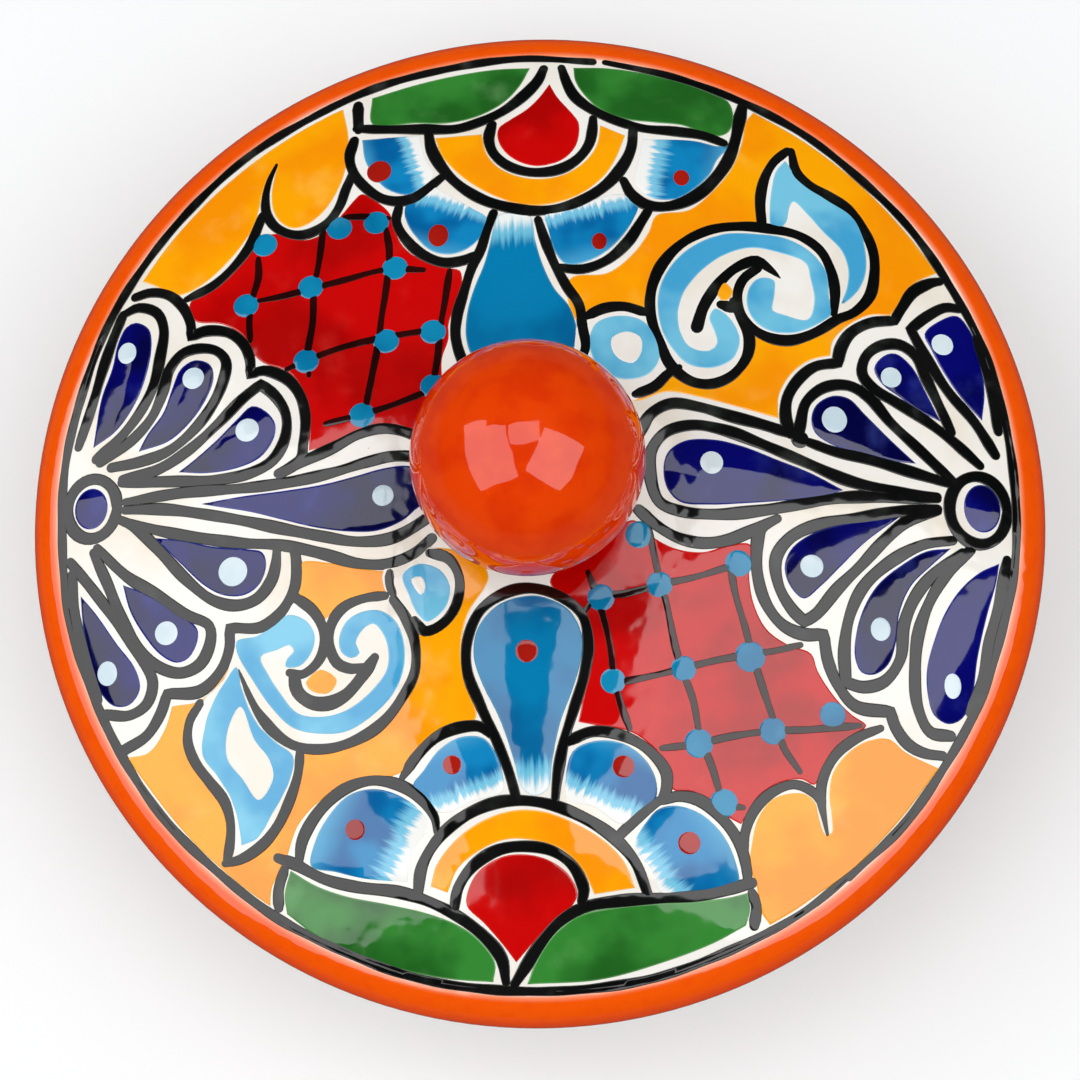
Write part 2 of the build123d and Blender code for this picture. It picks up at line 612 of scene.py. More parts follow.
@dataclass
class Dish:
    """The shallow dish: bowl, rolled rim and foot ring. Sizes in millimetres."""

    seat: float = top_of("dish_rim")
    rim_radius: float = half_width("dish_rim")
    rim_foot: float = foot_of("dish_rim")
    wall_radius: float = half_width("dish_bowl")
    floor_foot: float = foot_of("dish_bowl")
    foot_radius: float = half_width("dish_foot_ring")
    wall: float = 7.0
    lean: float = 7.0
    bend: float = 16.0
    foot_width: float = 9.0
    foot_trim: Point = (1.0, 0.8)  # how far and how high the foot's lower edges are rounded
    foot_taper: float = 1.3  # from the floor down to those edges
    coil_under: float = 5.4  # the rim's round under, over and inside
    coil_over: float = 4.5
    coil_ease: float = 1.5
    climb_start: float = 18.0  # how high the wall is straight, above its foot
    orange_inside: float = 4.0  # where the orange would end, inside the mouth

    def wall_at(self, height: float) -> float:
        """Radius of the outer wall at a height."""
        share = (height - self.floor_foot) / (self.rim_foot - self.floor_foot)
        return self.wall_radius - (1 - share) * self.lean

    def bend_arc(self, radius: float, height: float, bend: float) -> list[Point]:
        """The round turn from a level floor into the leaning wall.

        Args:
            radius: Where floor and wall would meet in a corner.
            height: The floor's height.
            bend: The turn's radius.

        Returns:
            Its points, from the floor up.
        """
        slope = math.degrees(math.atan2(self.rim_foot - self.floor_foot, self.lean))
        run = bend * math.tan(math.radians(slope) / 2)
        return arc((radius - run, height + bend), -90, -90 + slope, (bend, bend), 12)

    def bowl(self) -> bpy.types.Mesh:
        """Floor and wall in one.

        Returns:
            The mesh, in metres.
        """
        floor = self.floor_foot + self.wall
        outside = self.bend_arc(self.wall_at(self.floor_foot), self.floor_foot, self.bend)
        inside = self.bend_arc(self.wall_at(floor) - self.wall, floor, self.bend - self.wall)
        level = [self.wall_radius * share for share in (0.2, 0.4, 0.6, 0.75)]
        straight = self.rim_foot - self.floor_foot - self.climb_start
        climb = [self.floor_foot + self.climb_start + step * straight / 4 for step in range(1, 4)]
        outline = [(0.0, self.floor_foot)] + [(r, self.floor_foot) for r in level] + outside
        outline += [(self.wall_at(h), h) for h in climb]
        outline += [(self.wall_radius, self.rim_foot), (self.wall_radius - self.wall, self.rim_foot)]
        outline += [(self.wall_at(h) - self.wall, h) for h in reversed(climb)]
        outline += inside[::-1] + [(r, floor) for r in reversed(level)] + [(0.0, floor)]
        return turn("dish_bowl_glazed", outline)

    def rim(self) -> bpy.types.Mesh:
        """The rolled coil that the lid rests on.

        Returns:
            The mesh, in metres.
        """
        mouth = self.wall_radius - self.wall
        low, high, inside = self.coil_under, self.coil_over, self.coil_ease
        under = arc((self.rim_radius - low, self.rim_foot + low), -90, 0, (low, low))
        over = arc((self.rim_radius - high, self.seat - high), 0, 90, (high, high))
        ease = arc((mouth + inside, self.seat - inside), 90, 180, (inside, inside), 5)
        return turn("dish_rim_glazed", [(mouth, self.rim_foot)] + under + over + ease)

    def foot(self) -> bpy.types.Mesh:
        """The bare ring under the floor, trimmed with a slight round.

        Returns:
            The mesh, in metres.
        """
        outer, inner, height = self.foot_radius, self.foot_radius - self.foot_width, self.floor_foot
        side, rise = self.foot_taper + self.foot_trim[0], self.foot_trim[1]
        outline = [(inner, height)] + arc((inner + side, rise), 190, 270, self.foot_trim, 4)
        outline += arc((outer - side, rise), 270, 350, self.foot_trim, 4) + [(outer, height)]
        return turn("dish_foot_trimmed", outline)

    def build(self) -> None:
        """Makes and dresses the dish."""
        orange_from = self.wall_radius - self.wall - self.orange_inside
        rim_finish = OrangeGlaze().rim(orange_from * MM, self.rim_radius * MM)
        dress("dish_bowl", self.bowl(), Body.DISH, WhiteGlaze().finish("dish_white"))
        dress("dish_rim", self.rim(), Body.DISH, rim_finish)
        dress("dish_foot_ring", self.foot(), Body.DISH, BareClay().finish())


@dataclass
class Lid:
    """The domed lid with its rim, collar, neck and ball knob. Sizes in millimetres."""

    radius: float = half_width("lid_rim")
    seat: float = foot_of("lid_rim")
    edge: float = half_width("lid_dome")
    crown: float = top_of("lid_dome")
    edge_height: float = top_of("lid_rim")
    collar_radius: float = half_width("lid_collar")
    collar_foot: float = foot_of("lid_collar")
    ball_radius: float = half_width("knob_ball")
    ball_top: float = top_of("knob_ball")
    neck_foot_radius: float = half_width("knob_neck")
    plate: float = 7.0
    collar_width: float = 6.0
    ball_wall: float = 5.5
    vent: float = 1.5
    round_under: float = 5.0
    seat_width: float = 6.0  # of the flat beside the collar
    collar_ease: float = 2.0
    neck_flare: float = 4.5
    neck_root: float = 3.4  # how deep the neck is set in the crown
    ball_waver: float = 0.25  # how uneven the hand left the ball

    @property
    def round_over(self) -> float:
        """Radius of the roll from the widest line up to the painted field."""
        return self.radius - self.edge

    @property
    def curve(self) -> float:
        """Radius of the dome's curve."""
        rise = self.crown - self.edge_height
        return (self.edge**2 + rise**2) / (2 * rise)

    def height(self, radius: float, depth: float = 0.0) -> float:
        """Height of the lid's upper side, or of a level below it, at a radius.

        Args:
            radius: The distance from the axis.
            depth: How far the level lies below the upper side.

        Returns:
            The height, in millimetres.
        """
        if radius > self.edge:
            share = min((radius - self.edge) / self.round_over, 1.0)
            return self.edge_height - self.round_over * (1 - math.sqrt(1 - share**2))
        return self.crown - self.curve + math.sqrt((self.curve - depth) ** 2 - radius**2)

    def steepness(self, point: Point) -> Vector:
        """The way the lid's upper side faces at a point of its plan.

        Args:
            point: The point, in millimetres.

        Returns:
            A vector of length 1, straight off the surface.
        """
        radius = math.hypot(*point)
        if radius <= self.edge:
            return Vector((point[0], point[1], math.sqrt(self.curve**2 - radius**2))).normalized()
        share = min((radius - self.edge) / self.round_over, 0.999)
        out = Vector((point[0], point[1], 0.0)).normalized()
        return (out * share + Vector((0, 0, math.sqrt(1 - share**2)))).normalized()

    def dome(self) -> bpy.types.Mesh:
        """The domed plate, with its air hole under the knob.

        Returns:
            The mesh, in metres.
        """
        rings = [self.vent + (self.edge - self.vent) * step / 40 for step in range(41)]
        outline = [(r, self.height(r)) for r in rings]
        outline += [(r, self.height(r, self.plate)) for r in reversed(rings)]
        return turn("lid_dome_glazed", outline)

    def rim(self) -> bpy.types.Mesh:
        """The rolled coil round the plate's edge.

        Returns:
            The mesh, in metres.
        """
        widest = self.seat + self.round_under
        under_plate = self.height(self.edge, self.plate)
        outline = [(self.collar_radius, self.seat), (self.collar_radius + self.seat_width, self.seat)]
        outline += arc((self.radius - self.round_under, widest), -90, 0, (self.round_under,) * 2)
        outline += arc((self.edge, widest), 0, 90, (self.round_over,) * 2, 14)[1:]
        inner_plate = self.height(self.collar_radius, self.plate)
        outline += [(self.edge, under_plate), (self.collar_radius, inner_plate)]
        return turn("lid_rim_glazed", outline)

    def collar(self) -> bpy.types.Mesh:
        """The ring under the lid that keeps it centred.

        Returns:
            The mesh, in metres.
        """
        outer, inner, low = self.collar_radius, self.collar_radius - self.collar_width, self.collar_foot
        ease = self.collar_ease
        outline = [(inner, self.height(inner, self.plate))]
        outline += arc((inner + ease, low + ease), 180, 270, (ease, ease), 6)
        outline += arc((outer - ease, low + ease), 270, 360, (ease, ease), 6)
        outline += [(outer, self.height(outer, self.plate))]
        return turn("lid_collar_glazed", outline)

    def ball(self) -> bpy.types.Mesh:
        """The hollow ball of the knob, a little uneven from the hand.

        Returns:
            The mesh, in metres.
        """
        middle = (0.0, self.ball_top - self.ball_radius)
        outer, inner = self.ball_radius, self.ball_radius - self.ball_wall
        low_outer = -90 + math.degrees(math.asin(self.vent / outer))
        low_inner = -90 + math.degrees(math.asin(self.vent / inner))
        outline = arc(middle, low_outer, 90, (outer, outer), 60)
        outline += arc(middle, 90, low_inner, (inner, inner), 24)
        return turn("knob_ball_glazed", outline, waver=self.ball_waver)

    def neck(self) -> bpy.types.Mesh:
        """The short flared neck between the lid and the ball.

        Returns:
            The mesh, in metres.
        """
        low, high = foot_of("knob_neck"), top_of("knob_neck")
        foot, waist = self.neck_foot_radius, self.neck_foot_radius - self.neck_flare
        sweep = arc((foot, high), 180, 270, (foot - waist, high - self.height(foot)), 10)
        ball_low = self.ball_top - 2 * self.ball_radius
        outline = [(self.vent, self.crown - self.neck_root), (foot, low)] + sweep[::-1]
        cup = [waist * share for share in (0.8, 0.6, 0.4, 0.2)] + [self.vent]
        middle = ball_low + self.ball_radius
        outline += [(r, middle - math.sqrt(self.ball_radius**2 - r**2)) for r in cup]
        return turn("knob_neck_glazed", outline)

    def build(self) -> None:
        """Makes and dresses the lid's own pieces."""
        orange, white = OrangeGlaze(), WhiteGlaze()
        knob_finish = orange.knob(self.crown * MM, self.ball_top * MM)
        rim_finish = orange.rim(self.edge * MM, self.radius * MM)
        dress("lid_dome", self.dome(), Body.LID, white.finish("lid_white"))
        dress("lid_rim", self.rim(), Body.LID, rim_finish)
        dress("lid_collar", self.collar(), Body.LID, white.finish("collar_white"))
        dress("knob_neck", self.neck(), Body.LID, knob_finish)
        dress("knob_ball", self.ball(), Body.LID, knob_finish)


class Tint(Enum):
    """The painted colours, each with its own piece of the lid or dish."""

    WHITE = "white"
    YELLOW = "yellow"
    RED = "red"
    GREEN = "green"
    PETAL = "petal"
    COBALT = "cobalt"
    TEAL = "teal"
    SKY = "sky"
    TURQUOISE = "turquoise"
    PALE = "pale"
    GARNET = "garnet"
    NET = "net"
    BLACK = "black"
    WHITE_TOUCH = "white_touch"
    YELLOW_TOUCH = "yellow_touch"


@dataclass(frozen=True)
class Wash:
    """A brushed field: uneven in the middle, thinner at its edge."""

    body: Colour
    deep: Colour  # where the paint pooled
    thin: Colour  # where the white shows through
    roundness: float = 0.0  # of the glaze that pooled in each stroke

    def mix(self, name: str) -> bpy.types.Material:
        """Mixes the finish.

        Args:
            name: Its name.

        Returns:
            The material.
        """
        recipe = Recipe(name)
        shade = recipe.mix(self.body, self.deep, recipe.grain(42.0).step(0.4, 0.62))
        worn = recipe.attribute("edge") * 0.55 + recipe.grain(90.0, 4.0).step(0.55, 0.85, 0.0, 0.3)
        shade = recipe.mix(shade, self.thin, worn)
        return recipe.gloss(shade, self.roundness)


@dataclass(frozen=True)
class PetalPaint:
    """Blue, drawn out into sky blue streaks and then white."""

    blue: Colour = srgb(14, 132, 190)
    deep: Colour = srgb(0, 96, 158)
    start: Colour = srgb(74, 164, 208)
    sky: Colour = srgb(120, 196, 226)
    white: Colour = srgb(243, 244, 241)
    worn: Colour = srgb(150, 204, 224)
    to_blue: Point = (0.02, 0.36)  # shares of the stroke over which each colour comes in
    to_sky: Point = (0.6, 0.73)
    to_white: Point = (0.75, 0.83)
    roundness: float = 0.007

    def mix(self, name: str) -> bpy.types.Material:
        """Mixes the finish.

        Args:
            name: Its name.

        Returns:
            The material.
        """
        recipe = Recipe(name)
        along = recipe.axis(recipe.strokes(), "X")
        way = along + (recipe.brush(0.6, 1.0) - 0.5) * 0.30
        blue = recipe.mix(self.blue, self.deep, recipe.grain(70.0, 2.0).step(0.4, 0.62))
        shade = recipe.mix(self.start, blue, along.step(*self.to_blue))
        shade = recipe.mix(shade, self.sky, way.step(*self.to_sky))
        shade = recipe.mix(shade, self.white, way.step(*self.to_white))
        worn = recipe.attribute("edge") * (1 - along.step(0.35, 0.5)) * 0.5
        return recipe.gloss(recipe.mix(shade, self.worn, worn), self.roundness)


@dataclass(frozen=True)
class StemPaint:
    """Teal, thin and streaked at the narrow end where the brush was lifted."""

    teal: Colour = srgb(0, 124, 176)
    deep: Colour = srgb(0, 98, 152)
    white: Colour = srgb(238, 243, 242)
    sky: Colour = srgb(110, 190, 220)
    worn: Colour = srgb(110, 190, 216)
    to_sky: Point = (0.03, 0.12)  # shares of the stroke over which each colour comes in
    to_teal: Point = (0.12, 0.21)
    roundness: float = 0.007

    def mix(self, name: str) -> bpy.types.Material:
        """Mixes the finish.

        Args:
            name: Its name.

        Returns:
            The material.
        """
        recipe = Recipe(name)
        along = recipe.axis(recipe.strokes(), "X")
        way = along + (recipe.brush(0.8, 0.9) - 0.5) * 0.22
        teal = recipe.mix(self.teal, self.deep, recipe.grain(45.0).step(0.38, 0.66))
        shade = recipe.mix(self.white, self.sky, way.step(*self.to_sky))
        shade = recipe.mix(shade, teal, way.step(*self.to_teal))
        shade = recipe.mix(shade, self.worn, recipe.attribute("edge") * 0.45)
        return recipe.gloss(shade, self.roundness)


@dataclass(frozen=True)
class Paint:
    """What a tint is made of, and how thick its pads stand on the glaze, in millimetres."""

    slot: Slot
    finish: Wash | PetalPaint | StemPaint
    thickness: float = 0.0


WHITE_WASH = Wash(srgb(244, 242, 237), srgb(236, 230, 218), srgb(247, 245, 242))
PAINTS = {
    Tint.WHITE: Paint(Slot.WHITE, WHITE_WASH, 0.11),
    Tint.YELLOW: Paint(Slot.YELLOW, Wash(srgb(255, 168, 0), srgb(250, 148, 0), srgb(255, 208, 110)), 0.07),
    Tint.RED: Paint(Slot.RED, Wash(srgb(202, 2, 2), srgb(172, 0, 0), srgb(226, 60, 50)), 0.07),
    Tint.GREEN: Paint(Slot.GREEN, Wash(srgb(52, 134, 50), srgb(30, 96, 30), srgb(130, 186, 120)), 0.09),
    Tint.PETAL: Paint(Slot.BLUE, PetalPaint(), 0.10),
    Tint.COBALT: Paint(Slot.COBALT, Wash(srgb(2, 3, 106), srgb(0, 0, 62), srgb(66, 82, 180), 0.014), 0.10),
    Tint.TEAL: Paint(Slot.BLUE, StemPaint(), 0.10),
    Tint.SKY: Paint(Slot.BLUE, Wash(srgb(118, 198, 228), srgb(66, 162, 210), srgb(168, 218, 236)), 0.15),
    Tint.TURQUOISE: Paint(Slot.BLUE, Wash(srgb(14, 136, 180), srgb(0, 112, 158), srgb(110, 190, 212))),
    Tint.PALE: Paint(Slot.WHITE, Wash(srgb(216, 230, 236), srgb(196, 216, 226), srgb(232, 240, 244))),
    Tint.GARNET: Paint(Slot.RED, Wash(srgb(168, 26, 14), srgb(148, 14, 6), srgb(190, 60, 44))),
    Tint.NET: Paint(Slot.BLACK, Wash(srgb(44, 6, 6), srgb(26, 2, 2), srgb(90, 20, 16))),
    Tint.BLACK: Paint(Slot.BLACK, Wash(srgb(14, 15, 14), srgb(6, 7, 7), srgb(96, 104, 96))),
    Tint.WHITE_TOUCH: Paint(Slot.WHITE, WHITE_WASH, 0.19),
    Tint.YELLOW_TOUCH: Paint(
        Slot.YELLOW, Wash(srgb(255, 176, 16), srgb(248, 156, 0), srgb(255, 214, 120)), 0.19
    ),
}

# How the paint lies on the glaze, in millimetres but for the shares
OVERLAP_STEP = 0.006  # so that two pads of a tint never lie in one plane
BURIED = 0.10  # how deep a pad's underside lies in the glaze
PAD_EASE = 0.42  # width of the rounded edge of a pad
PAD_DROP = 0.05  # how far that edge falls
CELL = 5.0  # a pad is cut this fine to follow the curve under it
SPACING = 1.1  # between the points of a drawn outline
SAME = 1e-6  # two points nearer than this are one
LINE_LIFT = 0.11  # share of its width that a painted line stands up
LINE_RISE = 0.05  # of its middle above the glaze
DOT_LIFT = 0.28  # half the height of a dot
DOT_FACETS = (28, 10)  # round it and up it
HAND_WEIGHT = 0.95  # how full the lines come out of the brush
HAND_WOBBLE = 0.13  # how unevenly a line is brushed, as a share of its width
HAND_WAVES = (0.37, 0.13)  # how quickly that changes from point to point
FILL_OUT = 3.0  # how soon a line has its full width, against its length
TIP_ANGLES = (25, 50, 70, 84)  # of the points that round a line's tip
LINE_SIDE = 0.55  # a line is thin where its side faces up less than this
PAD_RELIEF = 0.5  # how round the glaze looks over a pad's edge, a line and a dot
LINE_RELIEF = 0.16
DOT_RELIEF = 0.6
LEAST_LIFT = 0.001  # how far a side, at least, still faces out of the glaze


@dataclass(frozen=True)
class Pad:
    """A filled field of paint. A point given twice is a sharp corner."""

    tint: Tint
    outline: Sequence[Point]
    grain: tuple[Point, Point] = ((0.0, 0.0), (10.0, 0.0))  # the first and last end of the strokes


@dataclass(frozen=True)
class Line:
    """A brushed line along a smooth route."""

    route: Sequence[Point]
    width: float = 2.5
    tail: float = 0.8  # share of the width that is left at its end
    head: float = 0.8  # and at its start
    tint: Tint = Tint.BLACK


@dataclass(frozen=True)
class Dot:
    """A round touch of paint, by its half widths and its turn in degrees."""

    tint: Tint
    middle: Point
    size: Point
    turn: float = 0.0


def curve_through(points: Sequence[Point], closed: bool) -> list[Point]:
    """Follows given points with a smooth curve.

    Args:
        points: The points; one given twice in a row is a corner.
        closed: Whether the curve comes back to its start.

    Returns:
        The points of the curve.
    """
    knots: list[Vector] = []
    corners: set[int] = set()
    for point in points:
        knot = Vector(point)
        if knots and (knot - knots[-1]).length < SAME:
            corners.add(len(knots) - 1)
        else:
            knots.append(knot)
    count = len(knots)
    runs = range(count if closed else count - 1)
    drawn: list[Point] = []
    for run in runs:
        start, end = knots[run], knots[(run + 1) % count]
        before = knots[run - 1] if (closed or run > 0) and run not in corners else 2 * start - end
        beyond = (run + 2) % count
        sharp = (run + 1) % count in corners or (not closed and run + 2 >= count)
        after = 2 * end - start if sharp else knots[beyond]
        steps = max(1, round((end - start).length / SPACING))
        pairs = ((before, start), (start, end), (end, after))
        lead, gap, trail = [max((b - a).length, SAME) ** 0.5 for a, b in pairs]
        slope_in = (start - before) / lead - (end - before) / (lead + gap) + (end - start) / gap
        slope_out = (end - start) / gap - (after - start) / (gap + trail) + (after - end) / trail
        slope_in, slope_out = slope_in * gap, slope_out * gap
        for step in range(steps):
            t = step / steps
            spot = (2 * t**3 - 3 * t**2 + 1) * start + (t**3 - 2 * t**2 + t) * slope_in
            spot += (3 * t**2 - 2 * t**3) * end + (t**3 - t**2) * slope_out
            drawn.append((spot.x, spot.y))
    if not closed:
        drawn.append(tuple(knots[-1]))
    return drawn


@dataclass
class Ground:
    """A glazed surface that takes paint: it lays a flat plan on itself."""

    share: float  # how much larger the object is than the plan's own size
    spot: Callable[[Point], Vector]
    facing: Callable[[Point], Vector]
    sideways: Callable[[Point], Vector]  # the plan's first direction there

    def lay(self, mesh: bpy.types.Mesh, relief: float) -> list[Vector]:
        """Bends a flat mesh onto the surface.

        Args:
            mesh: The mesh, in millimetres; its Z is the height above the surface.
            relief: How much of the mesh's own roundness its shading shows.

        Returns:
            The way each point faces once it lies there.
        """
        facings = []
        flat = [normal.vector.copy() for normal in mesh.vertex_normals]
        for vertex, normal in zip(mesh.vertices, flat):
            plan = (vertex.co.x * self.share, vertex.co.y * self.share)
            out = self.facing(plan)
            across = self.sideways(plan)
            across = (across - out * across.dot(out)).normalized()
            along = out.cross(across)
            vertex.co = (self.spot(plan) + out * vertex.co.z) * MM
            tilt = (across * normal.x + along * normal.y) * relief
            lift = max(normal.z, LEAST_LIFT) if normal.z > -0.5 else normal.z
            facings.append((tilt + out * lift).normalized())
        return facings


@dataclass
class Brushwork:
    """Everything painted on one ground, gathered by colour."""

    prefix: str
    ground: Ground
    body: Body
    finishes: "Palette"
    pads: list[Pad] = field(default_factory=list)
    lines: list[Line] = field(default_factory=list)
    dots: list[Dot] = field(default_factory=list)

    def add(self, marks: Iterable[Pad | Line | Dot]) -> None:
        """Takes in the marks of one motif.

        Args:
            marks: The pads, lines and dots, in the order that they are painted.
        """
        for mark in marks:
            if isinstance(mark, Pad):
                self.pads.append(mark)
            elif isinstance(mark, Line):
                self.lines.append(mark)
            else:
                self.dots.append(mark)

    def pad_mesh(self, pad: Pad, thickness: float) -> bpy.types.Mesh:
        """Makes a closed flat pad with a rounded upper edge.

        Args:
            pad: The pad.
            thickness: How far it stands above the glaze.

        Returns:
            Its mesh, still flat.
        """
        bm = bmesh.new()
        outline = curve_through(pad.outline, True)
        floor = bm.faces.new([bm.verts.new((x, y, -BURIED)) for x, y in outline])
        if floor.normal.z == 0:
            floor.normal_update()
        if floor.normal.z > 0:
            floor.normal_flip()
        raised = bmesh.ops.extrude_face_region(bm, geom=[floor], use_keep_orig=True)["geom"]
        walls = [part for part in raised if isinstance(part, bmesh.types.BMVert)]
        bmesh.ops.translate(bm, verts=walls, vec=(0, 0, BURIED + thickness - PAD_DROP))
        top = next(part for part in raised if isinstance(part, bmesh.types.BMFace))
        bmesh.ops.recalc_face_normals(bm, faces=bm.faces)
        bmesh.ops.inset_individual(bm, faces=[top], thickness=PAD_EASE, use_even_offset=False)
        bmesh.ops.translate(bm, verts=top.verts, vec=(0, 0, PAD_DROP))
        for axis in (Vector((1, 0, 0)), Vector((0, 1, 0))):
            reach = [vertex.co.dot(axis) for vertex in bm.verts]
            cut = math.ceil(min(reach) / CELL) * CELL
            while cut < max(reach):
                whole = list(bm.verts) + list(bm.edges) + list(bm.faces)
                bmesh.ops.bisect_plane(bm, geom=whole, dist=1e-4, plane_co=axis * cut, plane_no=axis)
                cut += CELL
        bmesh.ops.triangulate(bm, faces=bm.faces)
        edge = bm.verts.layers.float.new("edge")
        brush = bm.loops.layers.uv.new("Brush")
        start, end = Vector(pad.grain[0]), Vector(pad.grain[1])
        run = end - start
        aside = Vector((-run.y, run.x)).normalized()
        for vertex in bm.verts:
            vertex[edge] = 1.0 if vertex.co.z < thickness - PAD_DROP / 2 else 0.0
        for face in bm.faces:
            for loop in face.loops:
                reach_to = loop.vert.co.xy - start
                loop[brush].uv = (reach_to.dot(run) / run.length_squared, reach_to.dot(aside))
        return finished(bm, "pad")

    def dot_mesh(self, dot: Dot) -> bpy.types.Mesh:
        """Makes one flat, domed touch of paint.

        Args:
            dot: The touch of paint.

        Returns:
            Its mesh, still flat.
        """
        bm = bmesh.new()
        bmesh.ops.create_uvsphere(bm, u_segments=DOT_FACETS[0], v_segments=DOT_FACETS[1], radius=1.0)
        bmesh.ops.scale(bm, vec=(*dot.size, DOT_LIFT), verts=bm.verts)
        turned = Matrix.Rotation(math.radians(dot.turn), 3, "Z")
        bmesh.ops.rotate(bm, cent=(0, 0, 0), matrix=turned, verts=bm.verts)
        bmesh.ops.translate(bm, vec=(*dot.middle, 0.0), verts=bm.verts)
        return finished(bm, "dot")

    def tip(self, end: Vector, before: Vector, half: float) -> list[tuple[Vector, float]]:
        """The round end of a brushed line.

        Args:
            end: The line's last point.
            before: The point next to it.
            half: Half the line's width there.

        Returns:
            Points beyond the end, each with its half width.
        """
        way = (end - before).normalized()
        caps = [math.radians(angle) for angle in TIP_ANGLES]
        return [(end + way * half * math.sin(angle), half * math.cos(angle)) for angle in caps]

    def line_mesh(self, lines: Sequence[Line]) -> bpy.types.Mesh:
        """Makes brushed lines as flattened tubes with round ends.

        Args:
            lines: The lines, all of one tint.

        Returns:
            Their mesh, still flat.
        """
        curve = bpy.data.curves.new("lines", "CURVE")
        curve.dimensions = "3D"
        curve.twist_mode = "Z_UP"
        curve.bevel_depth = 1.0
        curve.bevel_resolution = 3
        curve.use_fill_caps = True
        quick, slow = HAND_WAVES
        for line in lines:
            route = [Vector(point) for point in curve_through(line.route, False)]
            last = len(route) - 1
            half = line.width / 2 * HAND_WEIGHT
            phase = line.route[0][0] + line.route[0][1]
            fades = [
                half
                * min(1.0, line.head + FILL_OUT * i / last, line.tail + FILL_OUT * (last - i) / last)
                * (1.0 + HAND_WOBBLE * math.sin(phase + quick * i) * math.cos(phase * 2 + slow * i))
                for i in range(last + 1)
            ]
            lead = self.tip(route[0], route[1], fades[0])
            trail = self.tip(route[-1], route[-2], fades[-1])
            beads = lead[::-1] + list(zip(route, fades)) + trail
            spline = curve.splines.new("POLY")
            spline.points.add(len(beads) - 1)
            for bead, (spot, radius) in zip(spline.points, beads):
                bead.co = (*spot, 0.0, 1.0)
                bead.radius = radius
        holder = bpy.data.objects.new("lines", curve)
        mesh = bpy.data.meshes.new_from_object(holder)
        bpy.data.objects.remove(holder)
        bpy.data.curves.remove(curve)
        edge = mesh.attributes.new("edge", "FLOAT", "POINT")
        sides = [max(0.0, 1.0 - abs(normal.vector.z) / LINE_SIDE) for normal in mesh.vertex_normals]
        edge.data.foreach_set("value", sides)
        flattened = Matrix.Diagonal((1.0, 1.0, LINE_LIFT, 1.0))
        mesh.transform(Matrix.Translation((0, 0, LINE_RISE)) @ flattened)
        return mesh

    def gather(self, tint: Tint) -> list[tuple[bpy.types.Mesh, float]]:
        """The flat meshes of everything painted in a tint, each with its relief.

        Args:
            tint: The tint.

        Returns:
            The meshes with their reliefs; none if nothing is painted in it.
        """
        pads = [pad for pad in self.pads if pad.tint is tint]
        meshes = []
        for number, pad in enumerate(pads):
            thickness = PAINTS[tint].thickness + OVERLAP_STEP * (number % 4)
            meshes.append((self.pad_mesh(pad, thickness), PAD_RELIEF))
        meshes += [(self.dot_mesh(dot), DOT_RELIEF) for dot in self.dots if dot.tint is tint]
        lines = [line for line in self.lines if line.tint is tint]
        if lines:
            meshes.append((self.line_mesh(lines), LINE_RELIEF))
        return meshes

    def build(self) -> None:
        """Makes one piece of each tint, laid on the ground and dressed."""
        for tint in Tint:
            parts = self.gather(tint)
            if not parts:
                continue
            name = f"{self.prefix}_{tint.value}"
            bm = bmesh.new()
            facings: list[Vector] = []
            for part, relief in parts:
                facings += self.ground.lay(part, relief)
                bm.from_mesh(part)
                bpy.data.meshes.remove(part)
            mesh = finished(bm, name)
            mesh.materials.clear()
            mesh.polygons.foreach_set("use_smooth", [True] * len(mesh.polygons))
            mesh.normals_split_custom_set_from_vertices(facings)
            link(name, mesh, self.body)
            mesh.materials.append(self.finishes.of(tint))


@dataclass
class Palette:
    """The finish of each painted tint, mixed when it is first asked for."""

    mixed: dict[Tint, bpy.types.Material] = field(default_factory=dict)

    def of(self, tint: Tint) -> bpy.types.Material:
        """The finish of a tint.

        Args:
            tint: The tint.

        Returns:
            The material, the same one each time.
        """
        if tint not in self.mixed:
            self.mixed[tint] = PAINTS[tint].finish.mix(f"{tint.value}_brushed")
        return self.mixed[tint]


Marks = list[Pad | Line | Dot]


def oval(middle: Point, wide: float, tall: float, steps: int = 16) -> list[Point]:
    """A closed oval route whose last point is its first.

    Args:
        middle: Its centre.
        wide: Half its width.
        tall: Half its height.
        steps: How many points go round it.

    Returns:
        The points.
    """
    return arc(middle, 0, 360, (wide, tall), steps)


